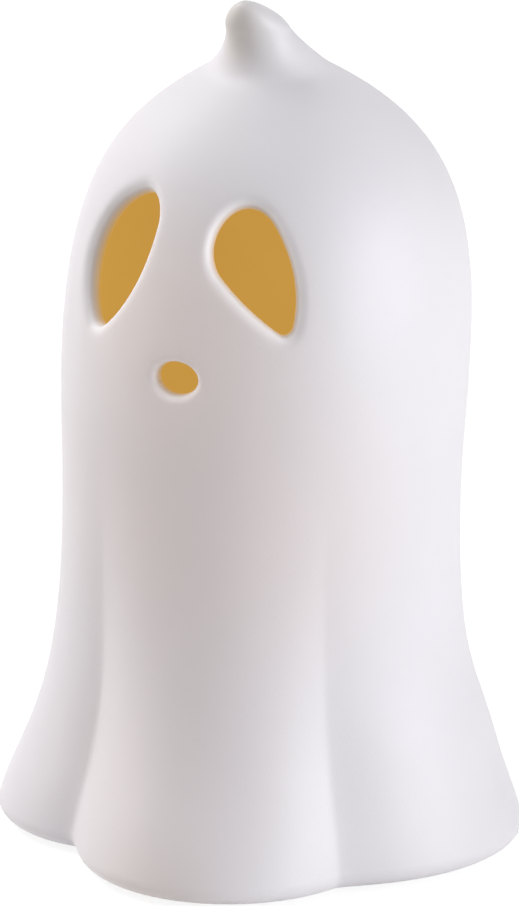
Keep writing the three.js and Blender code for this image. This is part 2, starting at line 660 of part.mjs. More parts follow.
// The pocket that the switch's knob slides in, and the slot for its stem.
function switchRecess() {
  const travel = SWITCH_TRAVEL / 2 + SEAT_GAP;
  const pocket = box(
    [-KNOB_LENGTH / 2 - travel, switchY - KNOB_WIDTH / 2 - SEAT_GAP, -THROUGH],
    [KNOB_LENGTH / 2 + travel, switchY + KNOB_WIDTH / 2 + SEAT_GAP, KNOB_POCKET],
  );
  return pocket.add(stemRoom(0, FLANGE_THICKNESS + THROUGH));
}

function stemRoom(bottom, top) {
  const travel = SWITCH_TRAVEL / 2 + SEAT_GAP;
  return box(
    [-STEM_LENGTH / 2 - travel, switchY - STEM_WIDTH / 2 - SEAT_GAP, bottom],
    [STEM_LENGTH / 2 + travel, switchY + STEM_WIDTH / 2 + SEAT_GAP, top],
  );
}

const rowY = (row) => (row - (CELL_COUNT - 1) / 2) * cellPitch;
const plateX = bayLength / 2 - SEAT_GAP - CONTACT_THICKNESS; // a contact's inner face
const contactBottom = cellHeight - CONTACT_HEIGHT / 2;

// The slots in the bay's roof for the two solder tabs, which are the first row's plus contact and the last
// row's minus contact.
function tabSlots() {
  return [
    [-1, 0],
    [1, CELL_COUNT - 1],
  ].map(([side, row]) => {
    const inner = side * (plateX - SEAT_GAP);
    const outer = (side * bayLength) / 2;
    return box(
      [Math.min(inner, outer), rowY(row) - TAB_WIDTH / 2 - SEAT_GAP, roofUnderside - THROUGH],
      [Math.max(inner, outer), rowY(row) + TAB_WIDTH / 2 + SEAT_GAP, roofTop + THROUGH],
    );
  });
}

// A contact plate on one end wall, across the rows from first to last, with a solder tab if it has one.
function contact(name, side, first, last, hasTab) {
  const inner = side * plateX;
  const outer = side * (plateX + CONTACT_THICKNESS);
  const low = Math.min(inner, outer);
  const high = Math.max(inner, outer);
  const plate = box(
    [low, rowY(first) - CONTACT_WIDTH / 2, contactBottom],
    [high, rowY(last) + CONTACT_WIDTH / 2, contactBottom + CONTACT_HEIGHT],
  );
  const tab = box(
    [low, rowY(first) - TAB_WIDTH / 2, contactBottom + CONTACT_HEIGHT / 2],
    [high, rowY(first) + TAB_WIDTH / 2, roofTop + TAB_RISE],
  );
  return meshOf(name, hasTab ? plate.add(tab) : plate, NICKEL);
}

// A battery cell along X, with its plus nub towards -X.
function cellSolid() {
  const body = CELL_LENGTH - CELL_NUB_HEIGHT;
  const section = [
    [0, 0],
    [CELL_RADIUS - CELL_BEVEL, 0],
    [CELL_RADIUS, CELL_BEVEL],
    [CELL_RADIUS, body - CELL_BEVEL],
    [CELL_RADIUS - CELL_BEVEL, body],
    [CELL_NUB_RADIUS, body],
    [CELL_NUB_RADIUS, CELL_LENGTH],
    [0, CELL_LENGTH],
  ];
  return turned(section, SMALL_ROUND_STEPS);
}

// Each cell's row, and the side that its nub points to. They take turns, so that the cells are in series.
function cellsAndSprings() {
  const made = [];
  const cell = cellSolid();
  const spring = springSolid();
  for (let row = 0; row < CELL_COUNT; row++) {
    const nubSide = row % 2 ? 1 : -1;
    const battery = meshOf(`battery_${row + 1}`, cell, CELL_JACKET);
    battery.rotation.y = (nubSide * Math.PI) / 2;
    battery.position.set(nubSide * (plateX - SEAT_GAP - CELL_LENGTH), rowY(row), cellHeight);
    const coil = meshOf(`contact_spring_${row + 1}`, spring, STEEL);
    coil.rotation.y = (nubSide * Math.PI) / 2;
    coil.position.set(-nubSide * (plateX - SEAT_GAP), rowY(row), cellHeight);
    made.push(battery, coil);
  }
  return made;
}

// The middle line of a contact spring that stands on its wide end, along Z.
class SpringLine extends THREE.Curve {
  getPoint(share, target = new THREE.Vector3()) {
    const radius = THREE.MathUtils.lerp(SPRING_BASE_RADIUS, SPRING_TIP_RADIUS, share);
    const angle = 2 * Math.PI * SPRING_TURNS * share;
    const height = THREE.MathUtils.lerp(SPRING_WIRE / 2, SPRING_LENGTH - SPRING_WIRE / 2, share);
    return target.set(radius * Math.cos(angle), radius * Math.sin(angle), height);
  }
}

// A round wire of one thickness along a curve.
function wireAlong(curve, radius, steps, sides) {
  const section = new THREE.Shape();
  for (let k = 0; k < sides; k++) {
    const angle = (2 * Math.PI * k) / sides;
    const corner = [radius * Math.cos(angle), radius * Math.sin(angle)];
    if (k) section.lineTo(...corner);
    else section.moveTo(...corner);
  }
  return solidOf(new THREE.ExtrudeGeometry(section, { steps, extrudePath: curve, bevelEnabled: false }));
}

function springSolid() {
  const steps = Math.round(SPRING_TURNS * SPRING_STEPS_PER_TURN);
  const line = new SpringLine();
  const pointsPerStep = 4;
  const points = line.getPoints(steps * pointsPerStep);
  const apart = (SPRING_STEPS_PER_TURN * pointsPerStep) / 2; // half a turn, so that neighbours don't count
  let least = Infinity;
  points.forEach((p, i) =>
    points.slice(i + apart).forEach((q) => {
      least = Math.min(least, p.distanceTo(q) - SPRING_WIRE);
    }),
  );
  console.log(`contact spring: least gap between its turns ${least.toFixed(2)} mm`);
  return wireAlong(line, SPRING_WIRE / 2, steps, SPRING_SIDES);
}

// The door lies in its hinge's own frame: the hinge's axis is the origin, along Y.
function batteryDoor() {
  const end = doorEnd - hingeX;
  const bottom = -DOOR_HINGE_HEIGHT;
  const top = bottom + DOOR_THICKNESS;
  const half = doorWidth / 2;
  const plate = box([0, -half, bottom], [end, half, top]);
  const barrel = alongY(DOOR_BARREL_RADIUS, -half, half, 0, 0);
  const pins = alongY(DOOR_PIN_RADIUS, -half - DOOR_PIN_LENGTH, half + DOOR_PIN_LENGTH, 0, 0);
  const nose = box([end - LATCH_NOSE, -LATCH_WIDTH / 2, bottom], [end + LATCH_NOSE, LATCH_WIDTH / 2, top]);
  const slits = [-1, 1].map((side) => {
    const edge = (side * LATCH_WIDTH) / 2;
    return box(
      [end - LATCH_LENGTH, Math.min(edge, edge + side * LATCH_SLIT), bottom - THROUGH],
      [end + THROUGH, Math.max(edge, edge + side * LATCH_SLIT), top + THROUGH],
    );
  });
  const ridges = Array.from({ length: LATCH_RIDGES }, (_, i) => {
    const x = end - (2 * i + 3) * LATCH_RIDGE_WIDTH;
    return box(
      [x - LATCH_RIDGE_WIDTH / 2, -LATCH_WIDTH / 3, bottom - LATCH_RIDGE_WIDTH / 2],
      [x + LATCH_RIDGE_WIDTH / 2, LATCH_WIDTH / 3, bottom + LATCH_RIDGE_WIDTH / 2],
    );
  });
  return joined([plate, barrel, pins, nose, ...ridges]).subtract(joined(slits));
}

// The cover: a disc with a lip inside the skirt, a collar round the lamp and a ring that locates the dome.
function housingCover() {
  const lipOutside = skirtInside - SEAT_GAP;
  const disc = cylinder(skirtRadius, 0, COVER_THICKNESS, [0, 0], ROUND_STEPS);
  const lip = cylinder(lipOutside, -COVER_LIP_DEPTH, COVER_THICKNESS / 2, [0, 0], ROUND_STEPS).subtract(
    cylinder(lipOutside - COVER_LIP_WALL, -COVER_LIP_DEPTH - THROUGH, 0, [0, 0], ROUND_STEPS),
  );
  const collar = cylinder(lampHoleRadius + COLLAR_WALL, 0, COVER_THICKNESS + COLLAR_HEIGHT);
  const ringOutside = DOME_RADIUS - DOME_WALL - SEAT_GAP;
  const ring = cylinder(ringOutside, 0, COVER_THICKNESS + LOCATING_RING_HEIGHT, [0, 0], ROUND_STEPS).subtract(
    cylinder(ringOutside - LOCATING_RING_WALL, COVER_THICKNESS, coverTop, [0, 0], ROUND_STEPS),
  );
  const lampHole = cylinder(lampHoleRadius, -THROUGH, COVER_THICKNESS + COLLAR_HEIGHT + THROUGH);
  const holes = postPlaces.map((place) =>
    cylinder(COVER_SCREW.shankRadius + SEAT_GAP, -THROUGH, COVER_THICKNESS + THROUGH, place),
  );
  return joined([disc, lip, ring, collar]).subtract(joined([lampHole, ...holes]));
}

// A screw whose head's underside is at the origin, pointing down, with a cross recess.
function screwSolid({ headRadius, headHeight, shankRadius, length }) {
  const pointRadius = shankRadius / 3;
  const pointLength = shankRadius;
  const edgeHeight = headHeight / 2;
  const crownRadius = headRadius * 0.75;
  const crownHeight = headHeight * 0.9;
  const section = [
    [0, -length],
    [pointRadius, -length],
    [shankRadius, -length + pointLength],
    [shankRadius, 0],
    [headRadius, 0],
    [headRadius, edgeHeight],
    [crownRadius, crownHeight],
    [0, headHeight],
  ];
  const reach = headRadius * 0.55;
  const half = headRadius * 0.12;
  const floor = headHeight * 0.4;
  return turned(section, SCREW_STEPS)
    .subtract(box([-reach, -half, floor], [reach, half, headHeight + THROUGH]))
    .subtract(box([-half, -reach, floor], [half, reach, headHeight + THROUGH]));
}

function screws() {
  const cover = screwSolid(COVER_SCREW);
  const board = screwSolid(BOARD_SCREW);
  const placed = (name, solid, [x, y], height) => {
    const screw = meshOf(name, solid, STEEL);
    screw.position.set(x, y, height);
    return screw;
  };
  return [
    ...postPlaces.map((place, i) => placed(`cover_screw_${i + 1}`, cover, place, coverTop + SEAT_GAP)),
    ...boardScrewPlaces.map((place, i) => placed(`board_screw_${i + 1}`, board, place, boardTop + SEAT_GAP)),
  ];
}

function lightDome() {
  const shell = (radius, bottom) => {
    const section = [[0, bottom], [radius, bottom], [radius, DOME_SIDE_HEIGHT]];
    for (let k = 1; k <= DOME_CROWN_STEPS; k++) {
      const angle = (Math.PI / 2) * (k / DOME_CROWN_STEPS);
      section.push([radius * Math.cos(angle), DOME_SIDE_HEIGHT + radius * Math.sin(angle)]);
    }
    return turned(section, DOME_STEPS);
  };
  return shell(DOME_RADIUS, 0).subtract(shell(DOME_RADIUS - DOME_WALL, -THROUGH));
}

// The lamp stands on the underside of its rim.
function lampBody() {
  const straight = LAMP_RIM_HEIGHT + LAMP_BODY_HEIGHT;
  const section = [
    [0, 0],
    [LAMP_RIM_RADIUS, 0],
    [LAMP_RIM_RADIUS, LAMP_RIM_HEIGHT],
    [LAMP_RADIUS, LAMP_RIM_HEIGHT],
    [LAMP_RADIUS, straight],
  ];
  for (let k = 1; k <= LENS_CROWN_STEPS; k++) {
    const angle = (Math.PI / 2) * (k / LENS_CROWN_STEPS);
    section.push([LAMP_RADIUS * Math.cos(angle), straight + LAMP_RADIUS * Math.sin(angle)]);
  }
  return turned(section, SMALL_ROUND_STEPS);
}

function lampPieces() {
  const lamp = meshOf("led_lamp", lampBody(), LENS);
  lamp.position.z = coverHeight;
  const leads = [-1, 1].map((side) => {
    const solid = box(
      [-LEAD_WIDTH / 2, -LEAD_WIDTH / 2, boardHeight - LEAD_TAIL],
      [LEAD_WIDTH / 2, LEAD_WIDTH / 2, coverHeight - SEAT_GAP],
    );
    const lead = meshOf(side < 0 ? "led_lead_minus" : "led_lead_plus", solid, STEEL);
    lead.position.x = (side * LEAD_SPACING) / 2;
    return lead;
  });
  return [lamp, ...leads];
}

function boardPieces() {
  const half = [BOARD_LENGTH / 2, BOARD_WIDTH / 2];
  const leadHoles = [-1, 1].map((side) =>
    cylinder(LEAD_WIDTH, -THROUGH, BOARD_THICKNESS + THROUGH, [(side * LEAD_SPACING) / 2, 0], SCREW_STEPS),
  );
  const screwHoles = boardScrewPlaces.map((place) =>
    cylinder(BOARD_SCREW.shankRadius + SEAT_GAP, -THROUGH, BOARD_THICKNESS + THROUGH, place),
  );
  const solid = box([-half[0], -half[1], 0], [half[0], half[1], BOARD_THICKNESS]);
  const board = meshOf("circuit_board", solid.subtract(joined([...leadHoles, ...screwHoles])), BOARD_GREEN);
  board.position.z = boardHeight;

  const blob = turned(
    [
      [0, 0],
      [CHIP_RADIUS, 0],
      [CHIP_RADIUS * 0.92, CHIP_HEIGHT * 0.5],
      [CHIP_RADIUS * 0.6, CHIP_HEIGHT * 0.9],
      [0, CHIP_HEIGHT],
    ],
    SMALL_ROUND_STEPS,
  );
  const chip = meshOf("timer_chip", blob, BLACK_EPOXY);
  chip.position.set(...CHIP_PLACE, boardTop + SEAT_GAP);

  const waist = RESISTOR_RADIUS * 0.82;
  const end = RESISTOR_LENGTH / 2;
  const capEnd = end * 0.55;
  const waistEnd = end * 0.4;
  const tube = turned(
    [
      [0, -end],
      [RESISTOR_RADIUS, -end],
      [RESISTOR_RADIUS, -capEnd],
      [waist, -waistEnd],
      [waist, waistEnd],
      [RESISTOR_RADIUS, capEnd],
      [RESISTOR_RADIUS, end],
      [0, end],
    ],
    SCREW_STEPS,
  );
  const resistor = meshOf("resistor", tube, RESISTOR_BODY);
  resistor.rotation.y = Math.PI / 2;
  resistor.position.set(...RESISTOR_PLACE, boardTop + SEAT_GAP + RESISTOR_RADIUS);
  return [board, chip, resistor];
}

function switchBody() {
  const can = box(
    [-SWITCH_LENGTH / 2, switchY - SWITCH_WIDTH / 2, switchHeight],
    [SWITCH_LENGTH / 2, switchY + SWITCH_WIDTH / 2, switchTop],
  );
  const pins = [-1, 0, 1].map((i) => {
    const x = i * SWITCH_PIN_SPACING;
    const half = [SWITCH_PIN_WIDTH / 2, SWITCH_PIN_THICKNESS / 2];
    return box(
      [x - half[0], switchY - half[1], switchTop - THROUGH],
      [x + half[0], switchY + half[1], switchTop + SWITCH_PIN_HEIGHT],
    );
  });
  const room = stemRoom(switchHeight - THROUGH, switchHeight + STEM_ENTRY + SEAT_GAP);
  return meshOf("switch_body", joined([can, ...pins]).subtract(room), STEEL);
}

// The knob in its own frame, on the flange's underside. It rests at the end of its travel that is on.
function switchKnob() {
  const capTop = KNOB_POCKET - SEAT_GAP;
  const cap = box(
    [-KNOB_LENGTH / 2, -KNOB_WIDTH / 2, -KNOB_PROUD],
    [KNOB_LENGTH / 2, KNOB_WIDTH / 2, capTop],
  );
  const stem = box(
    [-STEM_LENGTH / 2, -STEM_WIDTH / 2, 0],
    [STEM_LENGTH / 2, STEM_WIDTH / 2, switchHeight + STEM_ENTRY],
  );
  const pitch = KNOB_LENGTH / (KNOB_GROOVES + 1);
  const grooves = Array.from({ length: KNOB_GROOVES }, (_, i) => {
    const x = (i + 1) * pitch - KNOB_LENGTH / 2;
    return box(
      [x - KNOB_GROOVE_WIDTH / 2, -KNOB_WIDTH, -KNOB_PROUD - THROUGH],
      [x + KNOB_GROOVE_WIDTH / 2, KNOB_WIDTH, -KNOB_PROUD + KNOB_GROOVE_WIDTH],
    );
  });
  const knob = meshOf("switch_knob", cap.add(stem).subtract(joined(grooves)), BLACK_PLASTIC);
  knob.position.set(-SWITCH_TRAVEL / 2, switchY, 0);
  return knob;
}

// A wire inside the housing, from end to end
function wire(name, points, material) {
  const curve = new THREE.CatmullRomCurve3(points.map((p) => new THREE.Vector3(...p)), false, "centripetal");
  const steps = Math.round(curve.getLength() / (5 * WIRE_RADIUS));
  return meshOf(name, wireAlong(curve, WIRE_RADIUS, steps, WIRE_SIDES), material);
}

function wires() {
  const tabHeight = roofTop + TAB_RISE / 2;
  const overBoard = boardTop + WIRE_ARCH;
  const pinTop = switchTop + SWITCH_PIN_HEIGHT + SEAT_GAP;
  const pin = (i) => [i * SWITCH_PIN_SPACING, switchY, pinTop];
  const abovePin = (i) => [i * SWITCH_PIN_SPACING, switchY, pinTop + WIRE_LIFT];
  const onBoard = (x, y) => [x, y, boardTop + SEAT_GAP];
  const aboveBoard = (x, y) => [x, y, boardTop + SEAT_GAP + WIRE_LIFT];
  const toBoard = ({ wallX, bendX, boardX }) => [
    [wallX, bayWidth / 2 + SIGNAL_WIRES.past, overBoard],
    [bendX, SIGNAL_WIRES.bendY, overBoard],
    aboveBoard(boardX, SIGNAL_WIRES.boardY),
    onBoard(boardX, SIGNAL_WIRES.boardY),
  ];
  const fromTab = (side, row) => [
    [side * (plateX - SEAT_GAP), rowY(row), tabHeight],
    [side * (plateX - SEAT_GAP - WIRE_LIFT), rowY(row), tabHeight + SEAT_GAP],
  ];
  const besideSkirt = (degrees, height) => {
    const angle = THREE.MathUtils.degToRad(degrees);
    const reach = skirtInside - WIRE_RADIUS - WIRE_SKIRT_GAP;
    return [reach * Math.cos(angle), reach * Math.sin(angle), height];
  };
  return [
    wire(
      "wire_battery_plus",
      [
        ...fromTab(-1, 0),
        [-plateX + PLUS_WIRE.tabOut, -PLUS_WIRE.tabDown, tabHeight + PLUS_WIRE.rise],
        ...PLUS_WIRE_ANGLES.map((degrees, i) => {
          const along = i / (PLUS_WIRE_ANGLES.length - 1);
          return besideSkirt(degrees, tabHeight + PLUS_WIRE.rise * (1 - 2 * along ** 2));
        }),
        [-PLUS_WIRE.switchOut, switchY + PLUS_WIRE.past, pinTop + WIRE_LIFT],
        abovePin(-1),
        pin(-1),
      ],
      RED_WIRE,
    ),
    wire(
      "wire_switched",
      [
        pin(0),
        abovePin(0),
        ...toBoard(SWITCHED_WIRE),
      ],
      WHITE_WIRE,
    ),
    wire(
      "wire_timer",
      [
        pin(1),
        abovePin(1),
        ...toBoard(TIMER_WIRE),
      ],
      YELLOW_WIRE,
    ),
    wire(
      "wire_battery_minus",
      [
        ...fromTab(1, CELL_COUNT - 1),
        [MINUS_WIRE.tabX, MINUS_WIRE.tabY, overBoard],
        [MINUS_WIRE.bendX, MINUS_WIRE.bendY, overBoard],
        aboveBoard(MINUS_WIRE.boardX, MINUS_WIRE.boardY),
        onBoard(MINUS_WIRE.boardX, MINUS_WIRE.boardY),
      ],
      BLACK_WIRE,
    ),
  ];
}

// The ghost with its pads, standing on the table
const ghost = new THREE.Group();
const body = meshOf("ghost_body", ghostBody(), CERAMIC);
body.position.z = PAD_HEIGHT;
ghost.add(body, ...footPads());

// The light unit in the ghost's opening
const lightUnit = new THREE.Group();
lightUnit.position.z = PAD_HEIGHT + unitHeight;
const ring = meshOf("grip_ring", gripRing(), RUBBER);
ring.position.z = FLANGE_THICKNESS + SEAT_GAP;
const cover = meshOf("housing_cover", housingCover(), WHITE_PLASTIC);
cover.position.z = coverHeight;
const dome = meshOf("light_dome", lightDome(), DIFFUSER);
dome.position.z = coverTop + SEAT_GAP;
lightUnit.add(meshOf("light_housing", lightHousing(), WHITE_PLASTIC), ring, cover, dome);
lightUnit.add(...cellsAndSprings());
lightUnit.add(
  contact("contact_plus", -1, 0, 0, true),
  contact("contact_bridge_left", -1, 1, 2, false),
  contact("contact_bridge_right", 1, 0, 1, false),
  contact("contact_minus", 1, CELL_COUNT - 1, CELL_COUNT - 1, true),
);
lightUnit.add(...boardPieces(), ...lampPieces(), ...screws(), ...wires(), switchBody(), switchKnob());

// The battery door, turning about its hinge
const doorHinge = new THREE.Group();
doorHinge.position.set(hingeX, 0, DOOR_HINGE_HEIGHT);
doorHinge.add(meshOf("battery_door", batteryDoor(), WHITE_PLASTIC));
lightUnit.add(doorHinge);

const root = new THREE.Group();
root.add(ghost, lightUnit);

export default root;
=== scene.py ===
# %% [markdown]
# # A light-up ghost in white bisque
#
# The ghost is one slip-cast ceramic shell, and a round battery light plugs into its underside.
# The construction is already there as a frame of nodes at their real size. This lesson gives it its looks:
# it models the ceramic again as one smooth skin with rounded holes, finishes the light unit, and sets up a
# camera and a studio round them.

# %% The frame
import json
import math

import bmesh
import bpy
import numpy as np
from mathutils import Matrix, Vector
from mathutils.geometry import interpolate_bezier


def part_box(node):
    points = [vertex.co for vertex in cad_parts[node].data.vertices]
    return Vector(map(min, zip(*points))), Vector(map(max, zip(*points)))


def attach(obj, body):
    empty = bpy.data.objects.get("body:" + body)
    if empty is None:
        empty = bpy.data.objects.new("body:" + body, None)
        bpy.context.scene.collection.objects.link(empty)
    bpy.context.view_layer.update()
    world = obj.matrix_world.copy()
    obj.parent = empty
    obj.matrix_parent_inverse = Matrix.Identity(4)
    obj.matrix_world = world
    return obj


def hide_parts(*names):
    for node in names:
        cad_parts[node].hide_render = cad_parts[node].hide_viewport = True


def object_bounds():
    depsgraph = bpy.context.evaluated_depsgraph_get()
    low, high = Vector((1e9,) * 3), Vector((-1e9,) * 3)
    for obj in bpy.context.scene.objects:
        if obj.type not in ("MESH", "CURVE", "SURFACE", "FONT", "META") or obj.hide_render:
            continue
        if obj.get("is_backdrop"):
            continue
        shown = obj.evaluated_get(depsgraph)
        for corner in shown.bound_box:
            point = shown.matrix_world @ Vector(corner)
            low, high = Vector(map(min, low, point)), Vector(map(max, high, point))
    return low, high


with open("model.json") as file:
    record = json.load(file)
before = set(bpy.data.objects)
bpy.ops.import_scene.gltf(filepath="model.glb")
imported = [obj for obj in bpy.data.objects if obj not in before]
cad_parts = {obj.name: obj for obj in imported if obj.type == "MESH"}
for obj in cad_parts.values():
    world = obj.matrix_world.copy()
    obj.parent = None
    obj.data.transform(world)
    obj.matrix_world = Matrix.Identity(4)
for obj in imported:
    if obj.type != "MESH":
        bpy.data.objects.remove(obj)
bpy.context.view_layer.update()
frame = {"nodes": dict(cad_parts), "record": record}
nodes = frame["nodes"]
MM = 0.001

# %% [markdown]
# ## Camera
#
# The picture was taken with a long lens, a little from above and from the ghost's left hand. Scale, height and
# turn were found by laying the ghost's outline over the picture's outline.

# %% The camera
PICTURE = (519, 906)  # width and height in pixels
AZIMUTH = math.radians(27.7)
ELEVATION = math.radians(17.39)
ROLL = math.radians(0.302)
DISTANCE = 2.0
PIXELS_PER_MM = 4.368  # at the ghost's middle
SENSOR = 36  # mm, along the picture's long side
AIM_HEIGHT = 90.11 * MM
AIM_ASIDE = -0.393 * MM


def link(thing):
    bpy.context.scene.collection.objects.link(thing)
    return thing


def seen_from(azimuth, elevation):
    """The direction towards a place at an azimuth, counted from the face, and an elevation."""
    level = math.cos(elevation)
    return Vector((math.sin(azimuth) * level, -math.cos(azimuth) * level, math.sin(elevation)))


towards_camera = seen_from(AZIMUTH, ELEVATION)
level_right = Vector((math.cos(AZIMUTH), math.sin(AZIMUTH), 0))
level_up = towards_camera.cross(level_right)
camera_right = level_right * math.cos(ROLL) + level_up * math.sin(ROLL)
camera_up = level_up * math.cos(ROLL) - level_right * math.sin(ROLL)

camera = link(bpy.data.objects.new("camera", bpy.data.cameras.new("camera")))
turn = Matrix((camera_right, camera_up, towards_camera)).transposed().to_4x4()
aim = level_right * AIM_ASIDE + Vector((0, 0, AIM_HEIGHT))
camera.matrix_world = Matrix.Translation(aim + towards_camera * DISTANCE) @ turn
camera.data.sensor_width = SENSOR
camera.data.lens = PIXELS_PER_MM * (DISTANCE / MM) * SENSOR / max(PICTURE)
camera.data.clip_end = 20
bpy.context.scene.camera = camera
print("the lens is", round(camera.data.lens), "mm long")

# %% [markdown]
# ## Helpers for modelling by hand
#
# Blender's operators act on what is selected, so every step first lets go of everything and then picks by place.

# %% Picking and editing


def let_go():
    if bpy.context.object and bpy.context.object.mode != "OBJECT":
        bpy.ops.object.mode_set(mode="OBJECT")
    bpy.ops.object.select_all(action="DESELECT")


def hold(piece):
    let_go()
    piece.select_set(True)
    bpy.context.view_layer.objects.active = piece


def edit(piece, kind):
    """Opens the piece in edit mode with nothing selected. kind is VERT, EDGE or FACE."""
    if bpy.context.object is not piece or piece.mode != "EDIT":
        hold(piece)
        bpy.ops.object.mode_set(mode="EDIT")
    bpy.ops.mesh.select_mode(type=kind)
    bpy.ops.mesh.select_all(action="DESELECT")
    return bmesh.from_edit_mesh(piece.data)


def pick(piece, kind, wanted):
    """Selects the vertices, edges or faces that wanted says yes to."""
    shape = edit(piece, kind)
    for part in {"VERT": shape.verts, "EDGE": shape.edges, "FACE": shape.faces}[kind]:
        if wanted(part):
            part.select_set(True)
    shape.select_flush_mode()
    bmesh.update_edit_mesh(piece.data)


def place_picked(piece, place):
    """Moves every selected vertex to place(its place)."""
    shape = bmesh.from_edit_mesh(piece.data)
    for corner in shape.verts:
        if corner.select:
            corner.co = place(corner.co)
    bmesh.update_edit_mesh(piece.data)


def on_round(radius, height):
    """A place on a level round about Z, in millimetres."""

    def place(co):
        away = co.xy.normalized() * radius * MM
        return Vector((away.x, away.y, height * MM))

    return place


def made_solid(piece):
    """Turns all faces outwards and leaves edit mode."""
    edit(piece, "FACE")
    bpy.ops.mesh.select_all(action="SELECT")
    bpy.ops.mesh.normals_make_consistent(inside=False)
    bpy.ops.object.mode_set(mode="OBJECT")
    return piece


def places_of(piece):
    flat = np.empty(len(piece.data.vertices) * 3)
    piece.data.vertices.foreach_get("co", flat)
    return flat.reshape(-1, 3)


def set_places(piece, places):
    piece.data.vertices.foreach_set("co", np.asarray(places, float).ravel())
    piece.data.update()


# %% [markdown]
# ## The ghost's form
#
# The shell is level rings round a bent middle line. Its outline is five gentle curves from the hem to the peak.
# Below the waist the sheet hangs in four lobes, with a valley between each pair. All sizes are in millimetres
# and are those of the ceramic itself, measured from its foot.

# %% Sizes of the ghost
WALL = 4.2
HEM_RADIUS = 61.5
HEM_EDGE_RADIUS = 3
HEM_UPRIGHT = 16.9
HEM_DRAW_IN = 4.9
FLARE_HEIGHT = 50.2
WAIST_RADIUS = 45.8
WAIST_HEIGHT = 78
HEAD_RADIUS = 46.7
HEAD_HEIGHT = 114.8
DOME_HEIGHT = 64
DOME_UPRIGHT = 37.3
SHOULDER_RADIUS = 15.1
SHOULDER_SLOPE = 0.588
SHOULDER_REACH = 25.2
PEAK_RADIUS = 7.3
PEAK_NECK_HEIGHT = 10.9
PEAK_TIP_HEIGHT = 7.5
PEAK_CURL = 8.5
PEAK_CURL_POWER = 1.48
TIP_FLAT_RADIUS = 0.6
HEAD_SET_BACK = 4.6
SET_BACK_HEIGHT = 38.4
SET_BACK_REACH = 45
WAIST_EASE = 0.49
SLOPE_EASE = 0.43
NECK_OUT = 1.1
NECK_DOWN = 0.3
TIP_OUT = 0.95
TIP_UP = 0.5
TIP_FLAT = 0.33

shoulder_height = HEAD_HEIGHT + DOME_HEIGHT
neck_height = shoulder_height + PEAK_NECK_HEIGHT
ghost_height = neck_height + PEAK_TIP_HEIGHT
foot_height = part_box("ghost_body")[0].z / MM  # the pads hold the foot this far off the table

# The valleys of the folds, from the back round by the ghost's right hand to the back again. Angles are in
# degrees from the face towards +X, at the hem and where the fold fades out.
VALLEY_HEM = np.array([-218, -137, -34.6, 48, 142])
VALLEY_TOP = np.array([-220, -139, -21.6, 46.4, 140])
VALLEY_DEPTH = np.array([8.5, 8.5, 13.1, 9, 8.5])
RIDGE_SKEW = np.array([1, 1.25, 1.22, 1.29])  # above 1, a lobe's ridge sits nearer its right valley
FOLD_HEIGHT = 132
FOLD_HOLD = 1.24
FOLD_FADE = 2.83
LOBE_FULLNESS = 0.75  # below 1, a lobe is broader and its valleys are narrower
CREASE_SOFTNESS = 0.18
SWELL_LOBE = 3  # the lobe that bellies out a little above its hem
SWELL_OUT = 1.7
SWELL_HEIGHT = 27.3
SWELL_REACH = 12.2

# %% The outline's curves


def outline_curves():
    """Each curve as (steps, start, its handle, the end's handle, end), in radius and height."""
    waist_handle = (HEAD_HEIGHT - WAIST_HEIGHT) * WAIST_EASE
    uphill = Vector((-1, SHOULDER_SLOPE)).normalized()
    shoulder = Vector((SHOULDER_RADIUS, shoulder_height))
    round_off = HEM_EDGE_RADIUS * 0.5523  # the handle that turns a curve into a quarter circle
    hem = (HEM_RADIUS, HEM_EDGE_RADIUS)
    foot = (HEM_RADIUS - HEM_EDGE_RADIUS, 0)
    waist = (WAIST_RADIUS, WAIST_HEIGHT)
    head = (HEAD_RADIUS, HEAD_HEIGHT)
    neck = (PEAK_RADIUS, neck_height)
    tip = (TIP_FLAT_RADIUS, ghost_height)
    return [
        (7, foot, (foot[0] + round_off, 0), (HEM_RADIUS, hem[1] - round_off), hem),
        (
            46,
            hem,
            (HEM_RADIUS - HEM_DRAW_IN, HEM_EDGE_RADIUS + HEM_UPRIGHT),
            (WAIST_RADIUS, WAIST_HEIGHT - FLARE_HEIGHT),
            waist,
        ),
        (26, waist, (WAIST_RADIUS, WAIST_HEIGHT + waist_handle), (HEAD_RADIUS, HEAD_HEIGHT - waist_handle), head),
        (58, head, (HEAD_RADIUS, HEAD_HEIGHT + DOME_UPRIGHT), shoulder - uphill * SHOULDER_REACH, shoulder),
        (
            12,
            shoulder,
            shoulder + uphill * (SHOULDER_RADIUS - PEAK_RADIUS) * SLOPE_EASE,
            (PEAK_RADIUS * NECK_OUT, neck_height - PEAK_NECK_HEIGHT * NECK_DOWN),
            neck,
        ),
        (
            14,
            neck,
            (PEAK_RADIUS * TIP_OUT, neck_height + PEAK_TIP_HEIGHT * TIP_UP),
            (PEAK_RADIUS * TIP_FLAT, ghost_height),
            tip,
        ),
    ]


def along_outline(finer):
    """Points of the outline from foot to tip, with finer points for each of the curves' steps."""
    points = [Vector((HEM_RADIUS - HEM_EDGE_RADIUS, 0))]
    for steps, *corners in outline_curves():
        knots = [Vector((*corner, 0)) for corner in corners]
        points += interpolate_bezier(*knots, steps * finer + 1)[1:]
    return np.array([point[:2] for point in points])


fine_outline = along_outline(12)
row_heights = along_outline(1)[:, 1]


def radius_at(height):
    return np.interp(height, fine_outline[:, 1], fine_outline[:, 0])


print("the outline has", len(row_heights), "rows, from", row_heights[0], "to", round(row_heights[-1], 1), "mm")

# %% [markdown]
# ## Wrapping a flat sheet round the ghost
#
# Holes with even, rounded rims are hard to cut in a bent skin, and easy to cut in a flat sheet. So the skin is
# modelled flat, with its width as the distance round the head, its length as the height, and its thickness as
# the depth into the wall. When it is finished, every point is wrapped to its place on the ghost.

# %% The wrap


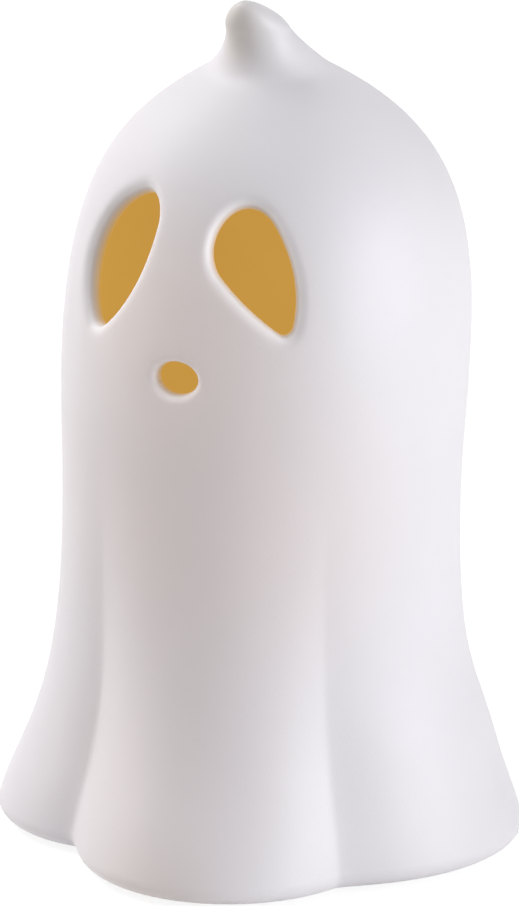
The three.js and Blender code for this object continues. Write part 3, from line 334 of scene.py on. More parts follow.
def middle_at(height):
    """How far back the ghost's middle lies: the head is set back a little, and the peak curls forwards."""
    away = (height - HEAD_HEIGHT - SET_BACK_HEIGHT) / SET_BACK_REACH
    back = HEAD_SET_BACK * np.exp(-(away**2))
    up = np.clip((height - shoulder_height) / (ghost_height - shoulder_height), 0, 1)
    return back - (PEAK_CURL + back) * up**PEAK_CURL_POWER


def valleys_at(height):
    """The angles of the valley lines, one row for each height."""
    rise = np.clip(height / FOLD_HEIGHT, 0, 1)
    return VALLEY_HEM + (VALLEY_TOP - VALLEY_HEM) * rise[:, None]


def on_sheet(points):
    """Points [distance round the head, height] as places on the flat sheet, whose columns follow the folds."""
    degrees = np.degrees(points[:, 0] / HEAD_RADIUS)
    ruled = [np.interp(angle, lines, VALLEY_TOP) for angle, lines in zip(degrees, valleys_at(points[:, 1]))]
    return np.stack([np.radians(ruled) * HEAD_RADIUS, points[:, 1]], 1)


def wrapped(flat):
    """Flat places [distance round, height, depth] as places on the ghost, in metres."""
    around, height, depth = flat.T
    slope = (radius_at(height + WALL) - radius_at(height - WALL)) / (2 * WALL)
    lean = np.hypot(1, slope)
    radius = radius_at(height) - depth / lean
    level = height + depth * slope / lean

    degrees = np.degrees(around / HEAD_RADIUS)
    lobe = np.clip(np.searchsorted(VALLEY_TOP, degrees, side="right") - 1, 0, len(RIDGE_SKEW) - 1)
    share = (degrees - VALLEY_TOP[lobe]) / (VALLEY_TOP[lobe + 1] - VALLEY_TOP[lobe])
    share = np.clip(share, 0, 1)
    valley = valleys_at(level)
    every = np.arange(len(around))
    angle = np.radians(valley[every, lobe] * (1 - share) + valley[every, lobe + 1] * share)

    rise = np.clip(level / FOLD_HEIGHT, 0, 1)
    fade = (1 - rise**FOLD_HOLD) ** FOLD_FADE
    wave = np.clip(np.sin(np.pi * share ** RIDGE_SKEW[lobe]), 0, 1) ** LOBE_FULLNESS
    crest = np.hypot(1, CREASE_SOFTNESS) - CREASE_SOFTNESS
    lift = (np.hypot(wave, CREASE_SOFTNESS) - CREASE_SOFTNESS) / crest
    fold = VALLEY_DEPTH[lobe] * (1 - share) + VALLEY_DEPTH[lobe + 1] * share
    swell = (lobe == SWELL_LOBE) * SWELL_OUT * np.exp(-(((level - SWELL_HEIGHT) / SWELL_REACH) ** 2))
    radius = radius - fold * fade * (1 - lift) + swell * lift
    places = [radius * np.sin(angle), middle_at(level) - radius * np.cos(angle), level + foot_height]
    return np.stack(places, 1) * MM


# %% [markdown]
# ## Eyes and mouth
#
# Each eye is an oval of four arcs: a large round over a small one, joined by two wide arcs. A slip-cast hole is
# cut while the clay is soft and its edge is wiped with a sponge, so the rim is a wide, soft round on the outside
# and a small one on the inside. The outlines are given on the flat sheet, so they can be grown by any distance.

# %% Outlines of the holes
EYES = [
    {"side": 1, "upper": (16.1, 33.2, 9.1), "lower": (26.1, 16.5, 2.3), "inner": 105.9, "outer": 29},
    {"side": -1, "upper": (16.6, 36, 6.7), "lower": (24.7, 14, 3.4), "inner": 32.8, "outer": 18.8},
]
MOUTH = {"out": 0.9, "up": 3.1, "half_width": 5.4, "half_height": 3.8}
ARC_POINTS = 60


def eye_outline(eye, grown):
    """The eye's outline as points [distance round, height]. A round is (out, up, radius)."""
    *top, top_radius = eye["upper"]
    *bottom, bottom_radius = eye["lower"]
    top, bottom = Vector(top), Vector(bottom)
    apart = (bottom - top).length
    down = (bottom - top) / apart
    across = Vector((-down.y, down.x))

    def wide_middle(radius, sign):
        """The middle of the wide arc that touches both rounds from outside."""
        to_top, to_bottom = radius - top_radius, radius - bottom_radius
        along = (to_top**2 - to_bottom**2 + apart**2) / (2 * apart)
        return top + down * along + across * sign * math.sqrt(to_top**2 - along**2)

    def arc(middle, radius, start, end):
        angle = start + (end - start) % (2 * math.pi) * np.linspace(0, 1, ARC_POINTS, endpoint=False)
        return np.array(middle) + (radius + grown) * np.stack([np.cos(angle), np.sin(angle)], 1)

    def towards(start, end):
        return math.atan2(end.y - start.y, end.x - start.x)

    inner, outer = wide_middle(eye["inner"], 1), wide_middle(eye["outer"], -1)
    points = np.vstack(
        [
            arc(inner, eye["inner"], towards(inner, top), towards(inner, bottom)),
            arc(bottom, bottom_radius, towards(inner, bottom), towards(outer, bottom)),
            arc(outer, eye["outer"], towards(outer, bottom), towards(outer, top)),
            arc(top, top_radius, towards(outer, top), towards(inner, top)),
        ]
    )
    return on_sheet(points * [eye["side"], 1] + [0, HEAD_HEIGHT])


def mouth_outline(grown):
    angle = np.linspace(0, 2 * math.pi, 4 * ARC_POINTS, endpoint=False)
    across = MOUTH["out"] + (MOUTH["half_width"] + grown) * np.cos(angle)
    up = HEAD_HEIGHT + MOUTH["up"] + (MOUTH["half_height"] + grown) * np.sin(angle)
    return on_sheet(np.stack([across, up], 1))


# %% Cutting a rimmed hole
RIM_STEPS = 7
BORDER = 1.6  # how far the mended border runs past the rim
NEAR_HOLE = 4  # how far past the border the hole's open edge is looked for
EVENED = (0.1, 5)  # between these distances past the border the sheet is evened out
SMOOTHING = {"factor": 0.5, "zaxis": False}


def round_rim(width, depth, face, inwards):
    """The rim as steps (grown, depth into the wall), from the face that it starts on to the hole's wall."""
    steps = []
    for angle in np.linspace(0, math.pi / 2, RIM_STEPS + 1):
        steps.append((width * (1 - math.sin(angle)), face + inwards * depth * (1 - math.cos(angle))))
    return steps


def reach_towards(points, middle):
    """The outline's distance from the middle, as a function of the direction."""
    away = points - middle
    direction = np.arctan2(away[:, 1], away[:, 0])
    order = np.argsort(direction)
    distance = np.hypot(away[:, 0], away[:, 1])[order]
    return lambda angle: np.interp(angle, direction[order], distance, period=2 * math.pi)


def cut_hole(sheet, outline, rim_width, steps):
    """Takes the hole's faces out of the flat sheet, lays the border on a smooth outline, and draws the rim
    into the wall ring by ring."""
    whole = outline(0)
    middle = (whole.min(0) + whole.max(0)) / 2
    border = reach_towards(outline(rim_width + BORDER), middle)

    def direction(co):
        return math.atan2(co[1] - middle[1], co[0] - middle[0])

    def inside(co, further=0):
        return math.hypot(co[0] - middle[0], co[1] - middle[1]) < border(direction(co)) + further

    def on_ring(reach, depth):
        def place(co):
            angle = direction(co)
            away = float(reach(angle))
            return Vector((middle[0] + away * math.cos(angle), middle[1] + away * math.sin(angle), depth))

        return place

    pick(sheet, "FACE", lambda face: inside(face.calc_center_median()))
    bpy.ops.mesh.delete(type="FACE")
    pick(sheet, "EDGE", lambda edge: edge.is_boundary and inside(edge.verts[0].co, NEAR_HOLE))
    bpy.ops.mesh.vertices_smooth(repeat=6, **SMOOTHING)
    place_picked(sheet, on_ring(border, steps[0][1]))
    for grown, depth in steps:
        bpy.ops.mesh.extrude_edges_indiv()
        place_picked(sheet, on_ring(reach_towards(outline(grown), middle), depth))

    pick(sheet, "VERT", lambda corner: not inside(corner.co, EVENED[0]) and inside(corner.co, EVENED[1]))
    bpy.ops.mesh.vertices_smooth(repeat=8, **SMOOTHING)
    bpy.ops.object.mode_set(mode="OBJECT")


# %% [markdown]
# ## The flat sheets
#
# One sheet is the outside and one the inside. Both have the same rows and columns and the same holes, so the
# last rings of their rims meet in the wall and weld. The columns crowd together at the creases of the folds.

# %% Two flat sheets with holes
COLUMNS_PER_LOBE = 44
CREASE_CROWDING = 0.5
OUTER_RIM = {"eye": (3.0, 3.0), "mouth": (2.0, 2.4)}  # width and depth
INNER_RIM = (1.0, 1.0)

lobe_count = len(RIDGE_SKEW)
along = np.linspace(0, 1, COLUMNS_PER_LOBE + 1)[:-1]
crowded = along - CREASE_CROWDING * np.sin(2 * np.pi * along) / (2 * np.pi)
column_degrees = [
    VALLEY_TOP[lobe] + (VALLEY_TOP[lobe + 1] - VALLEY_TOP[lobe]) * crowded for lobe in range(lobe_count)
]
column_places = np.radians(np.append(np.concatenate(column_degrees), VALLEY_TOP[-1])) * HEAD_RADIUS


def flat_sheet(name, depth):
    let_go()
    columns, rows = len(column_places) - 1, len(row_heights) - 1
    bpy.ops.mesh.primitive_grid_add(x_subdivisions=columns, y_subdivisions=rows, size=1)
    sheet = bpy.context.object
    sheet.name = name
    unit = places_of(sheet)
    column = np.rint((unit[:, 0] + 0.5) * columns).astype(int)
    row = np.rint((unit[:, 1] + 0.5) * rows).astype(int)
    set_places(sheet, np.stack([column_places[column], row_heights[row], np.full(len(unit), depth)], 1))
    return sheet


def cut_face(sheet, face, inwards):
    """Cuts both eyes and the mouth. face is the sheet's own depth, inwards 1 on the outside and -1 inside."""
    for kind, outline in (
        ("eye", lambda grown: eye_outline(EYES[0], grown)),
        ("eye", lambda grown: eye_outline(EYES[1], grown)),
        ("mouth", mouth_outline),
    ):
        width, depth = OUTER_RIM[kind] if inwards > 0 else INNER_RIM
        steps = round_rim(width, depth, face, inwards)
        if inwards < 0:
            steps.append((0.0, OUTER_RIM[kind][1]))
        cut_hole(sheet, outline, OUTER_RIM["eye"][0], steps)


outer = flat_sheet("ghost", 0.0)
cut_face(outer, 0.0, 1)
inner = flat_sheet("ghost_inside", WALL)
cut_face(inner, WALL, -1)
print("the outer sheet has", len(outer.data.polygons), "faces, the inner one", len(inner.data.polygons))

# %% [markdown]
# The inside ends above the ghost's floor and under its peak, so the inner sheet is trimmed there. The depth of
# each point is kept as an attribute, for the painted glow, painted lamp light and painted rim highlight that the
# material lays on.

# %% Trimming and wrapping
FLOOR_THICKNESS = 5
RECESS_DEPTH = 5
HOLLOW_FOOT = 1  # how far above the floor the inner sheet starts
WELD = 0.02
floor_top = RECESS_DEPTH + FLOOR_THICKNESS
kept_low, kept_high = floor_top + HOLLOW_FOOT, shoulder_height + 0.1

pick(inner, "VERT", lambda corner: not kept_low <= corner.co.y <= kept_high)
bpy.ops.mesh.delete(type="VERT")
hold(outer)
inner.select_set(True)
bpy.ops.object.join()
ghost = bpy.context.object
flat = places_of(ghost)
depth_of = ghost.data.attributes.new("wall_depth", "FLOAT", "POINT")
depth_of.data.foreach_set("value", flat[:, 2] / WALL)
set_places(ghost, wrapped(flat))
pick(ghost, "VERT", lambda corner: True)
bpy.ops.mesh.remove_doubles(threshold=WELD * MM)
bpy.ops.object.mode_set(mode="OBJECT")
print("the wrapped skin has", len(ghost.data.polygons), "faces")

# %% [markdown]
# ## The underside
#
# Under the hem is a flat foot, then a round recess that hides the light's flange, and then the opening that
# the light plugs into. These are turned on the caster's plaster mould, so they are true rounds. The lowest
# loop of the skin is drawn inwards ring by ring, and each ring is set on its round.

# %% Foot, recess and opening
SEAT_GAP = 0.3  # between pieces that seat on each other
FLANGE_CLEARANCE = 0.8
EDGE_ROUND = 0.7
EDGE_STEPS = 4
FOOT_RINGS = 4
flange_low, flange_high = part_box("light_housing")
ring_low, ring_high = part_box("grip_ring")
opening_radius = ring_high.x / MM + SEAT_GAP
recess_radius = flange_high.x / MM + FLANGE_CLEARANCE


def underside_rings():
    """Rings (radius, height, share of the way to the radius, where 0 stands for all of it)."""
    outside, inside = recess_radius + EDGE_ROUND, recess_radius - EDGE_ROUND
    opening = opening_radius + EDGE_ROUND
    rings = [(outside, 0, 1 / left) for left in range(FOOT_RINGS, 0, -1)]
    for radius, height, start, turn in (
        (outside, EDGE_ROUND, 270, -90),
        (inside, RECESS_DEPTH - EDGE_ROUND, 0, 90),
        (opening, RECESS_DEPTH + EDGE_ROUND, 270, -90),
        (opening, floor_top - EDGE_ROUND, 180, -90),
    ):
        for k in range(EDGE_STEPS + 1):
            angle = math.radians(start + turn * k / EDGE_STEPS)
            rings.append((radius + EDGE_ROUND * math.cos(angle), height + EDGE_ROUND * math.sin(angle), 0))
    return rings


def open_loop(lowest, highest):
    """Says yes to the open edges between two heights over the ghost's foot."""
    return lambda edge: edge.is_boundary and lowest < edge.verts[0].co.z / MM - foot_height < highest


pick(ghost, "EDGE", open_loop(-0.5, 0.5))
for radius, height, share in underside_rings():

    def drawn_to(co, radius=radius, height=height, share=share):
        angle = math.atan2(co.y, co.x)
        here = math.hypot(co.x, co.y)
        wanted = radius * MM
        if share:
            wanted = here + (wanted - here) * share
        return Vector((wanted * math.cos(angle), wanted * math.sin(angle), (foot_height + height) * MM))

    bpy.ops.mesh.extrude_edges_indiv()
    place_picked(ghost, drawn_to)
pick(ghost, "EDGE", open_loop(-0.5, floor_top + 4))
bpy.ops.mesh.bridge_edge_loops()
print("the underside has", len(underside_rings()), "rings")

# %% [markdown]
# The skin is closed at the peak and at the top of the hollow, where all columns run together in one point.

# %% Closing the two tops
HOLLOW_RINGS = ((0.7, 0.9), (0.57, 1.6))  # the share that is left of the loop's width, and mm above it

pick(ghost, "EDGE", open_loop(ghost_height - 0.5, ghost_height + 0.5))
bpy.ops.mesh.merge(type="CENTER")
pick(ghost, "EDGE", open_loop(shoulder_height - 12, shoulder_height + 2))
loop = [corner.co for corner in bmesh.from_edit_mesh(ghost.data).verts if corner.select]
hollow_top = sum(loop, Vector()) / len(loop)
for share, lift in HOLLOW_RINGS:

    def drawn_in(co, share=share, lift=lift):
        level = hollow_top.xy.lerp(co.xy, share)
        return Vector((level.x, level.y, hollow_top.z + lift * MM))

    bpy.ops.mesh.extrude_edges_indiv()
    place_picked(ghost, drawn_in)
bpy.ops.mesh.merge(type="CENTER")
open_edges = sum(edge.is_boundary for edge in bmesh.from_edit_mesh(ghost.data).edges)
hold(made_solid(ghost))
bpy.ops.object.shade_smooth()
print("the ghost has", len(ghost.data.polygons), "faces and", open_edges, "open edges")

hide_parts("ghost_body")
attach(ghost, "ghost")

# %% [markdown]
# ## Finishes
#
# Every finish is built from noise on Object coordinates, so it stays put from every side. The helper lets a colour
# drift with a coarse noise, varies the gloss with a fine one, and lifts that fine grain as a bump.

# %% Node helpers


def srgb(red, green, blue):
    """A colour as it is seen on a screen, in the linear values that the shader takes."""

    def linear(value):
        value = value / 255
        return value / 12.92 if value <= 0.04045 else ((value + 0.055) / 1.055) ** 2.4

    return (linear(red), linear(green), linear(blue), 1)


def grey(level):
    return (level, level, level, 1)


def new_material(name):
    material = bpy.data.materials.new(name)
    material.use_nodes = True
    tree = material.node_tree
    return material, tree, tree.nodes["Principled BSDF"]


def feed(tree, socket, value):
    """Links the value to the socket if it is a socket itself, and else sets it."""
    if isinstance(value, bpy.types.NodeSocket):
        tree.links.new(value, socket)
    else:
        socket.default_value = value


def add(tree, kind, **settings):
    """Adds a node. A setting names a property of the node, or else an input, which feed fills."""
    node = tree.nodes.new(kind)
    for name, value in settings.items():
        if hasattr(node, name):
            setattr(node, name, value)
        else:
            feed(tree, node.inputs[name.replace("_", " ")], value)
    return node


def object_place(tree):
    return add(tree, "ShaderNodeTexCoord").outputs["Object"]


def object_noise(tree, scale, detail=3.0, roughness=0.5):
    settings = {"Scale": scale, "Detail": detail, "Roughness": roughness}
    return add(tree, "ShaderNodeTexNoise", Vector=object_place(tree), **settings).outputs["Fac"]


def ramp(tree, source, stops):
    """A colour ramp with stops [(position, colour)] fed by source."""
    node = add(tree, "ShaderNodeValToRGB", Fac=source)
    for element, (position, colour) in zip(node.color_ramp.elements, stops):
        element.position = position
        element.color = colour
    return node.outputs["Color"]


def graded(tree, value, start, end, low=0, high=1, kind="LINEAR"):
    """Takes the value from start to end over to low to high, and holds it outside them."""
    reach = {"From_Min": start, "From_Max": end, "To_Min": low, "To_Max": high}
    return add(tree, "ShaderNodeMapRange", interpolation_type=kind, Value=value, **reach).outputs["Result"]


def mixed(tree, factor, first, second, blend="MIX"):
    """Mixes two colours. Each may be a socket or a plain colour, and the factor a socket or a number."""
    node = add(tree, "ShaderNodeMix", data_type="RGBA", blend_type=blend)
    for index, value in ((0, factor), (6, first), (7, second)):
        feed(tree, node.inputs[index], value)
    return node.outputs[2]


def bump(tree, shader, height, distance, strength=1.0):
    """Lifts the surface by up to a distance in millimetres."""
    node = add(tree, "ShaderNodeBump", Strength=strength, Distance=distance * MM, Height=height)
    feed(tree, shader.inputs["Normal"], node.outputs["Normal"])


DRIFT_SCALE = 45
GLOSS_SPREAD = 0.15


def moulded(name, colour, shade, roughness, grain=900, depth=0.02, metallic=0.0):
    """A plain moulded or rolled finish: a colour that drifts towards a shade, uneven gloss and a fine grain."""
    material, tree, shader = new_material(name)
    drift = object_noise(tree, DRIFT_SCALE, 4)
    feed(tree, shader.inputs["Base Color"], mixed(tree, drift, srgb(*colour), srgb(*shade)))
    fine = object_noise(tree, grain, 2)
    low, high = roughness * (1 - GLOSS_SPREAD), roughness * (1 + GLOSS_SPREAD)
    feed(tree, shader.inputs["Roughness"], ramp(tree, fine, [(0.3, grey(low)), (0.7, grey(high))]))
    bump(tree, shader, fine, depth)
    shader.inputs["Metallic"].default_value = metallic
    return material


# %% [markdown]
# ### Bisque and its painted glow
#
# Unglazed porcelain is almost white, with a breath of lilac grey, a soft sheen where light grazes it, a very fine
# tooth and a few dark specks of iron. Soft, round patches of painted light and shade are laid on: warm painted shade
# on the chest and lower front, painted shade on the peak, its ridge and the front foot, and warm painted light round
# the mouth. Inside, the lamp's amber light is painted on as an even, flat glow. The rims get a painted highlight, and
# deeper in the wall the cut edges turn from white to brown to amber with painted lamp light.

# %% The bisque material
BISQUE = srgb(240, 235, 239)
BISQUE_SHADE = srgb(236, 230, 233)
# warm painted shade, laid on the chest and on the lower front
CHEST_WARM_SHADE = srgb(243, 229, 227)
# painted shade under the peak's forward curl
PEAK_SHADE = srgb(216, 208, 202)
# painted shade that dulls the highlight on the peak's ridge
RIDGE_SHADE = srgb(226, 222, 223)
# warm painted light round the mouth and below the eyes, from the lamp inside
FACE_WARM_LIGHT = srgb(248, 234, 230)
# painted shade along the front foot, where the hem turns under
FOOT_SHADE = srgb(228, 215, 208)
# a painted highlight on the rims of the holes
RIM_HIGHLIGHT_COLOUR = srgb(252, 248, 250)
SPECK = srgb(96, 84, 78)
# painted lamp light: the amber colour of the deeper walls, and the inner wall's painted glow
LAMPLIT_WALL_COLOUR = srgb(120, 92, 40)
AMBER_GLOW = srgb(181, 143, 68)
AMBER_GLOW_DIM = srgb(175, 136, 62)
PAINTED_LIGHT_PATCHES = [  # patches of painted light and shade: where, how far it is whole and how far it reaches in millimetres, its strength and its colour
    # warm painted shade on the chest
    ((9, -42, 88), 10, 58, 0.75, CHEST_WARM_SHADE),
    # painted shade under the peak's curl
    ((-3, -13, 192), 4, 13, 0.85, PEAK_SHADE),
    # painted shade over the peak's ridge
    ((6, -3, 191), 2, 11, 0.7, RIDGE_SHADE),
    # warm painted light round the mouth
    ((2, -41, 131), 6, 40, 0.8, FACE_WARM_LIGHT),
    # painted shade at the front foot
    ((4, -60, -2), 2, 27, 0.6, FOOT_SHADE),
    # warm painted shade on the lower front
    ((-2, -54, 30), 5, 48, 0.45, CHEST_WARM_SHADE),
]
WALL_AMBER_FROM = 0.28  # where the walls' colour starts to turn to painted amber lamp light, as a share of the wall, as are the next two
# where the inner wall's painted glow begins
GLOW_START = 0.42
# how deep into the wall and how strongly the rims' painted highlight is laid on
RIM_HIGHLIGHT_DEPTH = 0.25
RIM_HIGHLIGHT_STRENGTH = 0.7
BISQUE_ROUGHNESS = 0.45
TOOTH = 0.05  # mm
TOOTH_SCALE = 2600
SPECK_SCALE = 42


def bisque_material():
    material, tree, shader = new_material("bisque")
    place = object_place(tree)
    body = mixed(tree, object_noise(tree, 28), BISQUE, BISQUE_SHADE)
    # lays the soft, round patches of painted light and shade
    for where, core, reach, strength, tint in PAINTED_LIGHT_PATCHES:
        away = add(tree, "ShaderNodeVectorMath", operation="DISTANCE")
        feed(tree, away.inputs[0], place)
        feed(tree, away.inputs[1], Vector(where) * MM)
        near = graded(tree, away.outputs["Value"], core * MM, reach * MM, strength, 0, "SMOOTHSTEP")
        body = mixed(tree, near, body, tint)

    cells = add(tree, "ShaderNodeTexVoronoi", Scale=SPECK_SCALE, Vector=place)
    rare = ramp(tree, cells.outputs["Distance"], [(0.016, grey(1)), (0.03, grey(0))])
    some = ramp(tree, object_noise(tree, 60, 0), [(0.52, grey(0)), (0.6, grey(0.8))])
    body = mixed(tree, mixed(tree, 1.0, rare, some, "MULTIPLY"), body, SPECK)

    depth = add(tree, "ShaderNodeAttribute", attribute_name="wall_depth").outputs["Fac"]
    # the painted highlight on the rims
    rim_highlight_share = graded(tree, depth, 0, RIM_HIGHLIGHT_DEPTH, 0, RIM_HIGHLIGHT_STRENGTH, "SMOOTHSTEP")
    # painted amber lamp light in the colour of the deeper walls
    wall_amber_share = graded(tree, depth, WALL_AMBER_FROM, 1)
    lit = graded(tree, depth, GLOW_START, 1)
    body = mixed(tree, rim_highlight_share, body, RIM_HIGHLIGHT_COLOUR)
    feed(tree, shader.inputs["Base Color"], mixed(tree, wall_amber_share, body, LAMPLIT_WALL_COLOUR))
    amber = mixed(tree, object_noise(tree, 55, 2), AMBER_GLOW_DIM, AMBER_GLOW)
    # the inner wall's painted glow, in place of the lamp's light
    feed(tree, shader.inputs["Emission Color"], mixed(tree, lit, grey(0), amber))
    shader.inputs["Emission Strength"].default_value = 1.0

    bump(tree, shader, object_noise(tree, TOOTH_SCALE, 3, 0.6), TOOTH, 0.7)
    shader.inputs["Roughness"].default_value = BISQUE_ROUGHNESS
    return material


def dress(piece, material):
    piece.data.materials.clear()
    piece.data.materials.append(material)


dress(ghost, bisque_material())
print("the bisque is on")

# %% [markdown]
# ### The light unit's finishes
#
# The light unit is a cheap, honest thing: white moulded plastic, a rubber ring, green board, nickel plate and
# printed cells. Each has its own drift of colour, gloss and grain.

# %% Finishes of the light unit
white_plastic = moulded("white_plastic", (238, 237, 232), (231, 230, 224), 0.42)
rubber = moulded("rubber", (201, 201, 196), (188, 188, 183), 0.78, grain=1500)
felt = moulded("felt", (214, 211, 204), (190, 187, 180), 0.95, grain=3200, depth=0.12)
steel = moulded("steel", (160, 163, 168), (142, 145, 150), 0.34, metallic=1.0)
nickel = moulded("nickel", (196, 198, 200), (180, 182, 184), 0.28, metallic=1.0)
black_plastic = moulded("black_plastic", (34, 35, 38), (26, 27, 30), 0.45)
cell_jacket = moulded("cell_jacket", (74, 106, 84), (64, 94, 74), 0.35)
FINISHES = {  # how the nodes' names start, and what these nodes wear; the first that fits counts
    "foot_pad": felt,
    "grip_ring": rubber,
    "cover_screw": steel,
    "board_screw": steel,
    "contact_spring": steel,
    "led_lead": steel,
    "switch_body": steel,
    "contact_": nickel,
    "timer_chip": black_plastic,
    "switch_knob": black_plastic,
    "battery_door": white_plastic,
    "battery_": cell_jacket,
    "circuit_board": moulded("board_green", (42, 104, 62), (32, 88, 50), 0.4),
    "resistor": moulded("resistor_body", (216, 189, 138), (204, 176, 124), 0.45),
    "led_lamp": moulded("lens", (242, 178, 60), (236, 168, 50), 0.15),
    "light_dome": moulded("diffuser", (246, 200, 104), (240, 190, 92), 0.5),
    "wire_battery_plus": moulded("red_wire", (176, 42, 38), (160, 34, 30), 0.4),
    "wire_battery_minus": moulded("black_wire", (32, 33, 36), (24, 25, 28), 0.4),
    "wire_switched": moulded("white_wire", (228, 227, 223), (214, 213, 208), 0.4),
    "wire_timer": moulded("yellow_wire", (217, 177, 58), (202, 162, 46), 0.4),
}


def finish_of(node):
    return next((finish for start, finish in FINISHES.items() if node.startswith(start)), white_plastic)


for name, piece in nodes.items():
    dress(piece, finish_of(name))
print("the light unit is dressed")

# %% [markdown]
# ## The light unit's shapes
#
# The moulded and turned pieces of the light are modelled again with fine rounds. A turned piece is drawn ring by
# ring like a pot on a wheel, and cuts are made with booleans, as slides in a mould make them. Sizes are in
# millimetres in each piece's own frame, and the piece is then lifted to its height.

# %% Turning, blocks and cuts
CORNER_STEPS = 4
ROUND_STEPS = 192  # of a large turned piece
ON_RING = 0.001  # mm, how near a corner on a ring lies to it


def eased(corners):
    """A section whose corners (radius, height, round) are turned into small rounds. The round may be left out."""
    section = []
    for k, corner in enumerate(corners):
        here = Vector(corner[:2])
        if len(corner) < 3:
            section.append(tuple(here))
            continue
        before = Vector(corners[k - 1][:2]) - here
        after = Vector(corners[(k + 1) % len(corners)][:2]) - here
        start = here + before.normalized() * corner[2]
        end = here + after.normalized() * corner[2]
        for step in range(CORNER_STEPS + 1):
            share = step / CORNER_STEPS
            point = start * (1 - share) ** 2 + here * 2 * share * (1 - share) + end * share**2
            section.append(tuple(point))
    return section


def moved(piece, place):
    """Gives every corner of the piece the place(corner), both in millimetres."""
    set_places(piece, np.array([place(corner) for corner in places_of(piece) / MM]) * MM)
    return piece


def lifted(piece, x, y, z):
    return moved(piece, lambda corner: corner + (x, y, z))


def copy_of(piece):
    """A copy with a mesh of its own."""
    one = piece.copy()
    one.data = piece.data.copy()
    return link(one)


def turned_piece(section, steps):
    """A solid turned about Z. The section closes on itself, or starts and ends on the axis."""
    on_axis = section[0][0] == 0
    rings = section[1:-1] if on_axis else section
    let_go()
    bpy.ops.mesh.primitive_circle_add(vertices=steps, radius=MM)
    piece = bpy.context.object
    pick(piece, "EDGE", lambda edge: True)
    for k, (radius, height) in enumerate(rings):
        if k:
            bpy.ops.mesh.extrude_edges_indiv()
        place_picked(piece, on_round(radius, height))
    if not on_axis:
        pick(piece, "EDGE", lambda edge: edge.is_boundary)
        bpy.ops.mesh.bridge_edge_loops()
        return made_solid(piece)
    for (radius, height), (_, end_height) in ((rings[0], section[0]), (rings[-1], section[-1])):

        def end_ring(edge, radius=radius, height=height):
            corner = edge.verts[0].co / MM
            off = math.hypot(corner.xy.length - radius, corner.z - height)
            return edge.is_boundary and off < ON_RING

        pick(piece, "EDGE", end_ring)
        bpy.ops.mesh.extrude_edges_indiv()
        bpy.ops.mesh.merge(type="CENTER")
        place_picked(piece, on_round(0, end_height))
    return made_solid(piece)


def block(low, high, edge_round=0.0):
    """A box between two corners, with rounded edges."""
    let_go()
    bpy.ops.mesh.primitive_cube_add(size=1)
    box = bpy.context.object
    low, high = np.array(low, float), np.array(high, float)
    moved(box, lambda corner: (low + high) / 2 + corner * MM * (high - low))
    if edge_round:
        pick(box, "EDGE", lambda edge: True)
        bpy.ops.mesh.bevel(offset=edge_round * MM, segments=3, affect="EDGES")
        bpy.ops.object.mode_set(mode="OBJECT")
    return box


def rod(radius, bottom, top, at=(0, 0), steps=48):
    let_go()
    bpy.ops.mesh.primitive_cylinder_add(vertices=steps, radius=radius * MM, depth=(top - bottom) * MM)
    return lifted(bpy.context.object, at[0], at[1], (bottom + top) / 2)


def along_y(piece, x, z):
    """Lays a piece that stands along Z down along Y, with its axis through x and z."""
    return moved(piece, lambda corner: np.array((x + corner[0], corner[2], z - corner[1])))


def combine(piece, others, operation):
    """Joins the others to the piece with UNION, or cuts them out of it with DIFFERENCE."""
    for other in others:
        hold(piece)
        change = piece.modifiers.new("change", "BOOLEAN")
        change.operation = operation
        change.object = other
        bpy.ops.object.modifier_apply(modifier=change.name)
        bpy.data.objects.remove(other)
    return piece


def finished(piece, node, smooth_below=35):
    """Shades the piece, dresses it in its node's finish, and lets it stand for that node."""
    hold(piece)
    bpy.ops.object.shade_smooth_by_angle(angle=math.radians(smooth_below))
    piece.name = node + "_look"
    if not piece.data.materials:
        dress(piece, finish_of(node))
    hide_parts(node)
    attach(piece, next(body for body, members in bodies.items() if node in members))
    print(node, "has", len(piece.data.polygons), "faces")


bodies = frame["record"]["behaviour"]["bodies"]

# %% [markdown]
# ### Dome, lamp and grip ring
#
# The dome is blown thin and frosted, and its crown is half a ball. The grip ring is soft rubber, so its two lips
# end in full rounds.

# %% Dome and lamp
DOME_RADIUS = 14
DOME_WALL = 1.2
DOME_SIDE = 6
CROWN_STEPS = 24


def crown(radius, start_height):
    """Quarter of a circle between the side and the axis, without the point on the axis."""
    angles = np.linspace(0, math.pi / 2, CROWN_STEPS + 1)[:-1]
    return [(radius * math.cos(angle), start_height + radius * math.sin(angle)) for angle in angles]


dome_inside = DOME_RADIUS - DOME_WALL
dome_foot = eased([(dome_inside, DOME_SIDE), (dome_inside, 0, 0.3), (DOME_RADIUS, 0, 0.4), (DOME_RADIUS, DOME_SIDE)])
dome_section = [(0, DOME_SIDE + dome_inside), *crown(dome_inside, DOME_SIDE)[::-1]]
dome_section += [*dome_foot[1:-1], *crown(DOME_RADIUS, DOME_SIDE), (0, DOME_SIDE + DOME_RADIUS)]
dome = turned_piece(dome_section, 96)
finished(lifted(dome, 0, 0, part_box("light_dome")[0].z / MM), "light_dome")

LAMP_RADIUS = 2.5
LAMP_RIM = (2.9, 1.0)  # radius and height
LAMP_STRAIGHT = 5.4
lamp_foot = eased(
    [(0, 0), (LAMP_RIM[0], 0, 0.15), (*LAMP_RIM, 0.2), (LAMP_RADIUS, LAMP_RIM[1], 0.1), (LAMP_RADIUS, 2.5)]
)
lens_height = LAMP_RIM[1] + LAMP_STRAIGHT
lamp = turned_piece(lamp_foot + crown(LAMP_RADIUS, lens_height) + [(0, lens_height + LAMP_RADIUS)], 64)
finished(lifted(lamp, 0, 0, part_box("led_lamp")[0].z / MM), "led_lamp")

